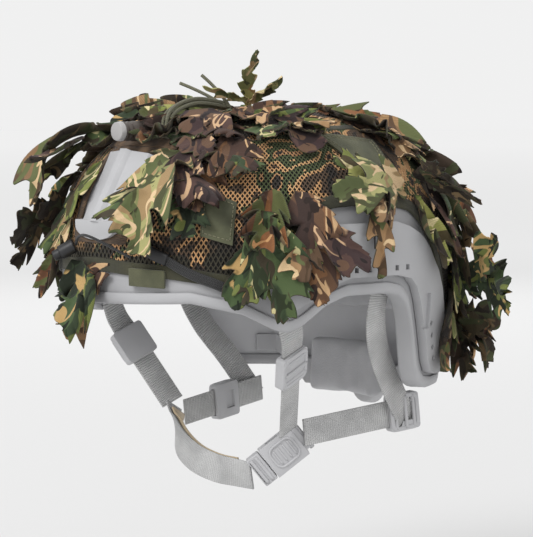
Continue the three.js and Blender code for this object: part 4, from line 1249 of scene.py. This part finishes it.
def makeSpray(name, path, width, skin, style, small):
    loose = name in swinging
    lifted = [off + (sprayForm["clear"] if loose and k else 0) for k, (_, _, off) in enumerate(path)]
    marks = [domePoint(turn, rise, off * mm) for (turn, rise, _), off in zip(path, lifted)]
    spine = smoothLine(np.array(marks), 24)
    root = domePoint(path[0][0], path[0][1], 3 * mm) - domePoint(path[0][0], path[0][1], 0)
    across = unit(np.cross(spine[-1] - spine[0], root))
    draw = np.random.default_rng(sum(map(ord, name)))
    # Sprays other than these get the darker back, painted shade on their undersides.
    back = skin if name in printedBack else "leafUnderShaded"
    pile = LeafPile("leaf_" + name + "_cloth", sorted(set([skin] + small)), back)
    widen = sprayForm["swingWiden" if loose else "widen"]
    pile.add(*leafSheet(spine, across, width * widen * mm, style, draw), skin)
    along, side, up = lineFrames(spine, across)
    length = np.linalg.norm(np.diff(spine, axis=0), axis=1).sum()
    for k, kind in enumerate(small):
        start = int(draw.uniform(2, 11))
        lean = np.radians(draw.uniform(22, 48)) * (1 if k % 2 else -1)
        ahead = unit(along[start] * np.cos(lean) + side[start] * np.sin(lean) + up[start] * 0.12)
        long = length * draw.uniform(0.5, 0.72)
        share = np.linspace(0, 1, 20)[:, None]
        bend = np.sin(np.pi * share * 0.5) * 0.16 * long * draw.uniform(-0.6, 1)
        stem = spine[start] + ahead * long * share + up[start] * (bend * share + (1.2 + 1.3 * k) * mm)
        stem = keepOff(stem, 3.4 * mm)
        wide = unit(np.cross(ahead, up[start]))
        outline = ["torn", "spike", "oak", "blade"][(k + len(name)) % 4]
        pile.add(*leafSheet(stem, wide, width * mm * draw.uniform(0.85, 1.15), outline, draw), kind)
    pile.build("spray_" + name if loose else "helmet", ["leaf_" + name])


for name, values in sprays.items():
    makeSpray(name, *values)
print("sprays made")


# Loose leaves over the rest of the cover, in groups by side.
# Anchor turn and rise, heading from straight down in degrees, length, width and lift at the tip in
# millimetres, skin and outline.
placed = [
    (-16, 63, -20, 52, 30, 8, "green", "oak"), (4, 66, 10, 48, 26, 9, "bark", "spike"),
    (20, 60, 30, 46, 26, 7, "purple", "oak"), (52, 66, 60, 46, 26, 7, "green", "torn"),
    (30, 52, 5, 46, 28, 10, "purple", "spike"), (-15, 37, 4, 48, 20, 6, "lime", "blade"),
    (36, 42, -5, 44, 30, 8, "bark", "oak"), (60, 25, -18, 40, 26, 12, "rust", "spike"),
    (30, 30, 12, 40, 24, 11, "moss", "torn"), (-17, 20, 6, 34, 18, 8, "pale", "spike"),
    (112, 72, 40, 42, 26, 8, "rust", "torn"), (-28, 74, -25, 46, 28, 9, "tan", "spike"),
    (122, 46, 15, 50, 32, 9, "moss", "oak"), (128, 30, 14, 56, 34, 12, "rust", "torn"),
    (119, 27, 12, 54, 30, 12, "purple", "oak"), (134, 14, 10, 56, 32, 14, "tan", "torn"),
    (126, 8, 6, 54, 30, 13, "green", "spike"), (140, -6, 12, 56, 32, 14, "moss", "oak"),
    (108, 21, 10, 46, 24, 11, "lime", "spike"), (56, 8, -12, 38, 22, 12, "green", "spike"),
    (76, 14, -10, 34, 20, 10, "lime", "blade"), (-20, 22, -22, 40, 24, 12, "green", "torn"),
    (-24, 4, -15, 34, 22, 12, "rust", "spike"), (-38, 30, -18, 42, 26, 10, "moss", "oak"),
]
zones = {
    "right": {"turns": (-140, -52), "rises": (4, 74), "count": 34},
    "rear": {"turns": (128, 232), "rises": (-34, 76), "count": 36},
    "top": {"turns": (-180, 180), "rises": (64, 80), "count": 11},
}
leafKinds = list(leafColours)


def makeLooseLeaves():
    draw = np.random.default_rng(77)
    pile = LeafPile("leaves_front_left", leafKinds)
    for turn, rise, heading, length, width, lift, skin, style in placed:
        spine, across = domeSpine(turn, rise, np.radians(heading), 1.18 * length * mm, 3 * mm, lift * mm)
        pile.add(*leafSheet(spine, across, width * mm * 1.55, style, draw), skin)
    pile.build("helmet")
    for zone, about in zones.items():
        pile = LeafPile("leaves_" + zone, leafKinds)
        rows = int(np.ceil(np.sqrt(about["count"])))
        for k in range(about["count"]):
            a = (k % rows + draw.uniform(0.1, 0.9)) / rows
            b = (k // rows + draw.uniform(0.1, 0.9)) / np.ceil(about["count"] / rows)
            turn = about["turns"][0] + (about["turns"][1] - about["turns"][0]) * a
            rise = about["rises"][0] + (about["rises"][1] - about["rises"][0]) * b
            hem = float(riseOf(hemHeight(turn)))
            if rise < hem + 5:
                rise = hem + 6
            heading = np.radians(draw.uniform(-38, 38))
            length = draw.uniform(48, 68) * mm
            spine, across = domeSpine(turn, rise, heading, length, 3 * mm, draw.uniform(5, 15) * mm)
            style = ["oak", "spike", "torn", "oak", "blade"][int(draw.integers(0, 5))]
            skin = leafKinds[int(draw.integers(0, len(leafKinds)))]
            pile.add(*leafSheet(spine, across, draw.uniform(36, 52) * mm, style, draw), skin)
        pile.build("helmet")


makeLooseLeaves()
print("loose leaves made")


# Patches, band and tab: finish, body and edge rounding.
cloths = {
    "patch_left": ("olive", "helmet", 0.35), "patch_right": ("olive", "helmet", 0.35),
    "web_band_left": ("oliveDark", "helmet", 0.3), "brow_tab": ("olive", "tab", 0.8),
}
for node, (skin, body, width) in cloths.items():
    settle(cadCopy(node, node + "_cloth", finishes[skin], width * mm, 3), body, "olive_cloth", node)


# Stitches: short rods laid end to end along a line of turns and rises on the patch's outer face.
def makeStitches(name, corners, inset, off, body, side=1, stitch=3.0 * mm):
    a, b, c, d = (np.array(p, float) for p in corners)
    middle = (a + b + c + d) / 4
    loop = np.array([p + (middle - p) * inset for p in (a, b, c, d, a)])
    share = np.linspace(0, 1, 40)[:, None]
    line = np.concatenate([loop[k] + (loop[k + 1] - loop[k]) * share for k in range(4)])
    points = domePoint(side * line[:, 0], line[:, 1], off)
    at = np.concatenate([[0], np.cumsum(np.linalg.norm(np.diff(points, axis=0), axis=1))])
    count = int(at[-1] / stitch)
    starts = np.arange(count) * at[-1] / count
    first, last = (readAt(spots, at, points) for spots in (starts, starts + 0.72 * stitch))
    out = standOff(first.copy())[1]
    wide = unit(np.cross(unit(last - first), out))
    ring = np.array([(1, 0), (0, 1), (-1, 0), (0, -1)]) * 0.32 * mm
    bulge = out * 0.12 * mm
    ends = [first, first * 0.75 + last * 0.25 + bulge, first * 0.25 + last * 0.75 + bulge, last]
    around = wide[:, None] * ring[None, :, :1]
    rods = np.stack([end[:, None] + around + out[:, None] * ring[None, :, 1:] for end in ends], 1)
    faces = gridFaces(4, 4, wrapColumns=True)
    caps = np.array([[0, 1, 2, 3], [15, 14, 13, 12]])
    one = np.concatenate([faces[:, ::-1], caps])
    every = (one[None] + 16 * np.arange(count)[:, None, None]).reshape(-1, 4)
    piece = addMesh(name, rods, every, finishes["thread"])
    faceOut(piece)
    return settle(piece, body, "olive_cloth")


panel = [(81, 53.5), (107, 47.5), (102, 29.5), (89, 37.5)]
coverOff = 1.9 + 0.4  # the net's outer face and a seat gap, in millimetres out of the shell
patchFace = (coverOff + 1.5) * mm
for side, label in ((1, "left"), (-1, "right")):
    makeStitches("patch_stitch_outer_" + label, panel, 0.12, patchFace, "helmet", side)
    makeStitches("patch_stitch_inner_" + label, panel, 0.26, patchFace, "helmet", side)
makeStitches("band_stitch", [(37, 25), (48, 20), (47, 5), (37, 8)], 0.16, patchFace, "helmet")


def domeLine(points):
    return np.array([domePoint(turn, rise, off * mm) for turn, rise, off in points])


cordOff = coverOff + 0.3 + 1.7  # a gap and half the cord
edgeCord = {
    "path": [(26, 1), (31, -3), (36, -8), (41, -12), (46, -16), (51, -18)],
    "crimp": [(18, 4.5), (22, 2.4), (26.8, 0.8)],
    "strands": 4, "radius": 0.95 * mm, "pitch": 1.75 * mm,
}
loopCord = {
    "path": [(11, 50, 5.1), (9, 57, 14), (12, 66, 14), (24, 75, 5.7)], "wide": (0.94, 0, 0.34),
    "corners": [(-1, -0.9), (1, -0.9), (-1, 0.9), (1, 0.9)], "spread": 1.75 * mm, "radius": 1.35 * mm,
}
lockCord = {
    "spot": (-7, 2.2, 13), "along": (-0.58, -0.6, -0.45), "lockHalf": 6.8 * mm,
    "via": [(-1, 6, 15), (4, 6, 17), (14, 1, 3.3)], "radius": 0.95 * mm,
}


def makeCords():
    line = smoothLine(domeLine([(turn, rise, cordOff) for turn, rise in edgeCord["path"]]), 90)
    for k in range(edgeCord["strands"]):
        drop = (k - (edgeCord["strands"] - 1) / 2) * edgeCord["pitch"]
        replaced = ["edge_cord"] if k == 0 else []
        addRod("edge_cord_strand_" + str(k), line + np.array([0, 0, 1.0]) * drop, (0, 0, 1),
               edgeCord["radius"], "cord", "helmet", "black_cord", *replaced)
    sleeve = smoothLine(domeLine([(turn, rise, cordOff + 0.5) for turn, rise in edgeCord["crimp"]]), 30)
    section = roundProfile(8.2 * mm, 4.4 * mm, 1.6 * mm, 4)
    crimp = sweep("edge_cord_crimp", sleeve, (0, 0, 1), section, finishes["black"])
    settle(crimp, "helmet", "black_plastic")
    loops = smoothLine(domeLine(loopCord["path"]), 60)
    _, side, up = lineFrames(loops, loopCord["wide"])
    ease = np.sin(np.pi * np.linspace(0, 1, 60))[:, None] * 0.8 * mm
    spread = loopCord["spread"]
    for k, (a, b) in enumerate(loopCord["corners"]):
        strand = loops + side * (a * spread + a * ease) + up * (b * spread * 0.8 + b * ease * 0.5)
        replaced = ["loop_cords"] if k == 0 else []
        addRod("loop_cord_" + str(k), strand, loopCord["wide"],
               loopCord["radius"], "laces", "helmet", "olive_cloth", *replaced)
    start = domeLine([lockCord["spot"]])[0] - unit(np.array(lockCord["along"])) * lockCord["lockHalf"]
    line = smoothLine(np.concatenate([[start], domeLine(lockCord["via"])]), 70)
    addRod("lock_cord_braid", line, (0, 0, 1),
           lockCord["radius"], "cord", "helmet", "black_cord", "lock_cord")


# Short cut ends of lace that stand out of the crown: each a gentle curve from its root.
laceEnds = {
    "root": (27, 74, 5), "radius": 1.15 * mm,
    "ends": [((-0.82, -0.40, 0.42), 40), ((-0.46, -0.52, 0.78), 30), ((-0.70, -0.78, 0.10), 27)],
}


def makeLaceEnds():
    root = domeLine([laceEnds["root"]])[0]
    for k, (heading, length) in enumerate(laceEnds["ends"]):
        ahead = unit(heading)
        share = np.linspace(0, 1, 30)[:, None]
        bow = np.array([0.3, -0.2, 0.9]) * (np.sin(np.pi * share) * (1.2 + 0.6 * k) * mm)
        line = root + np.array([0.6, 0.5, 0.0]) * k * 2.2 * mm + ahead * length * mm * share + bow
        line = keepOff(line, 3.6 * mm)
        addRod("lace_end_" + str(k), line, (0.3, 0.4, 0.8),
               laceEnds["radius"], "laces", "helmet", "olive_cloth")


makeCords()
makeLaceEnds()
print("cords and patches made")

# The floor's tones are painted shade: grey under the helmet to white far out, to cancel the lamps' stronger
# light near the middle.
stage = {"floor": -0.36, "radius": 16.0, "paintedShadeTones": [(0.0, 206), (0.12, 219), (0.35, 241), (1.0, 254)]}


def makeStage():
    reach = stage["radius"] * np.linspace(0.0005, 1, 24) ** 1.6
    turns = np.radians(np.arange(0, 360, 5))
    level = np.full((len(reach), len(turns)), stage["floor"])
    points = np.stack([reach[:, None] * np.cos(turns), reach[:, None] * np.sin(turns), level], -1)
    paper = Finish("paleFloor", 0.95, specular=0.0)
    far = paper.node("VectorMath", {0: paper.place()}, operation="LENGTH").outputs["Value"]
    # Painted shade: the floor is coloured darker toward the middle, by distance over 12 m, against the lamps'
    # light there.
    paper.colour(paper.ramp(paper.step(far, 0.0, 12.0), [(at, (tone,) * 3) for at, tone in stage["paintedShadeTones"]]))
    piece = addMesh("pale_floor", points, gridFaces(len(reach), len(turns), wrapColumns=True), paper.material)


def aimAt(holder, spot, aim):
    holder.location = spot
    holder.rotation_euler = (Vector(aim) - Vector(spot)).to_track_quat("-Z", "Y").to_euler()


def addLamp(name, spot, size, power, aim=(0, 0, -0.08)):
    lamp = bpy.data.lights.new(name, "AREA")
    lamp.shape = "DISK"
    lamp.size = size
    lamp.energy = power
    holder = bpy.data.objects.new(name, lamp)
    bpy.context.scene.collection.objects.link(holder)
    aimAt(holder, spot, aim)


makeStage()
addLamp("keyLight", (0.5, -2.6, 1.9), 1.4, 52)
addLamp("fillLight", (2.6, 0.6, 0.9), 2.2, 7)
addLamp("topLight", (0.0, 0.3, 2.6), 2.0, 8)
addLamp("backLight", (-2.0, 1.8, 1.2), 2.0, 6)
world = bpy.data.worlds.new("paleWorld")
world.use_nodes = True
world.node_tree.nodes["Background"].inputs[0].default_value = (1, 1, 1, 1)
world.node_tree.nodes["Background"].inputs[1].default_value = 0.76
bpy.context.scene.world = world
bpy.context.scene.view_settings.view_transform = "Standard"
bpy.context.scene.view_settings.exposure = 0.2

view = {"spot": (1.3602, -1.1721, 0.0560), "aim": (0.0059, 0.0052, -0.0852), "lens": 170.1}
camera = bpy.data.objects.new("camera", bpy.data.cameras.new("camera"))
bpy.context.scene.collection.objects.link(camera)
camera.data.lens = view["lens"]
camera.data.sensor_width = 36
camera.data.clip_end = 50
aimAt(camera, view["spot"], view["aim"])
bpy.context.scene.camera = camera

print("scene made")
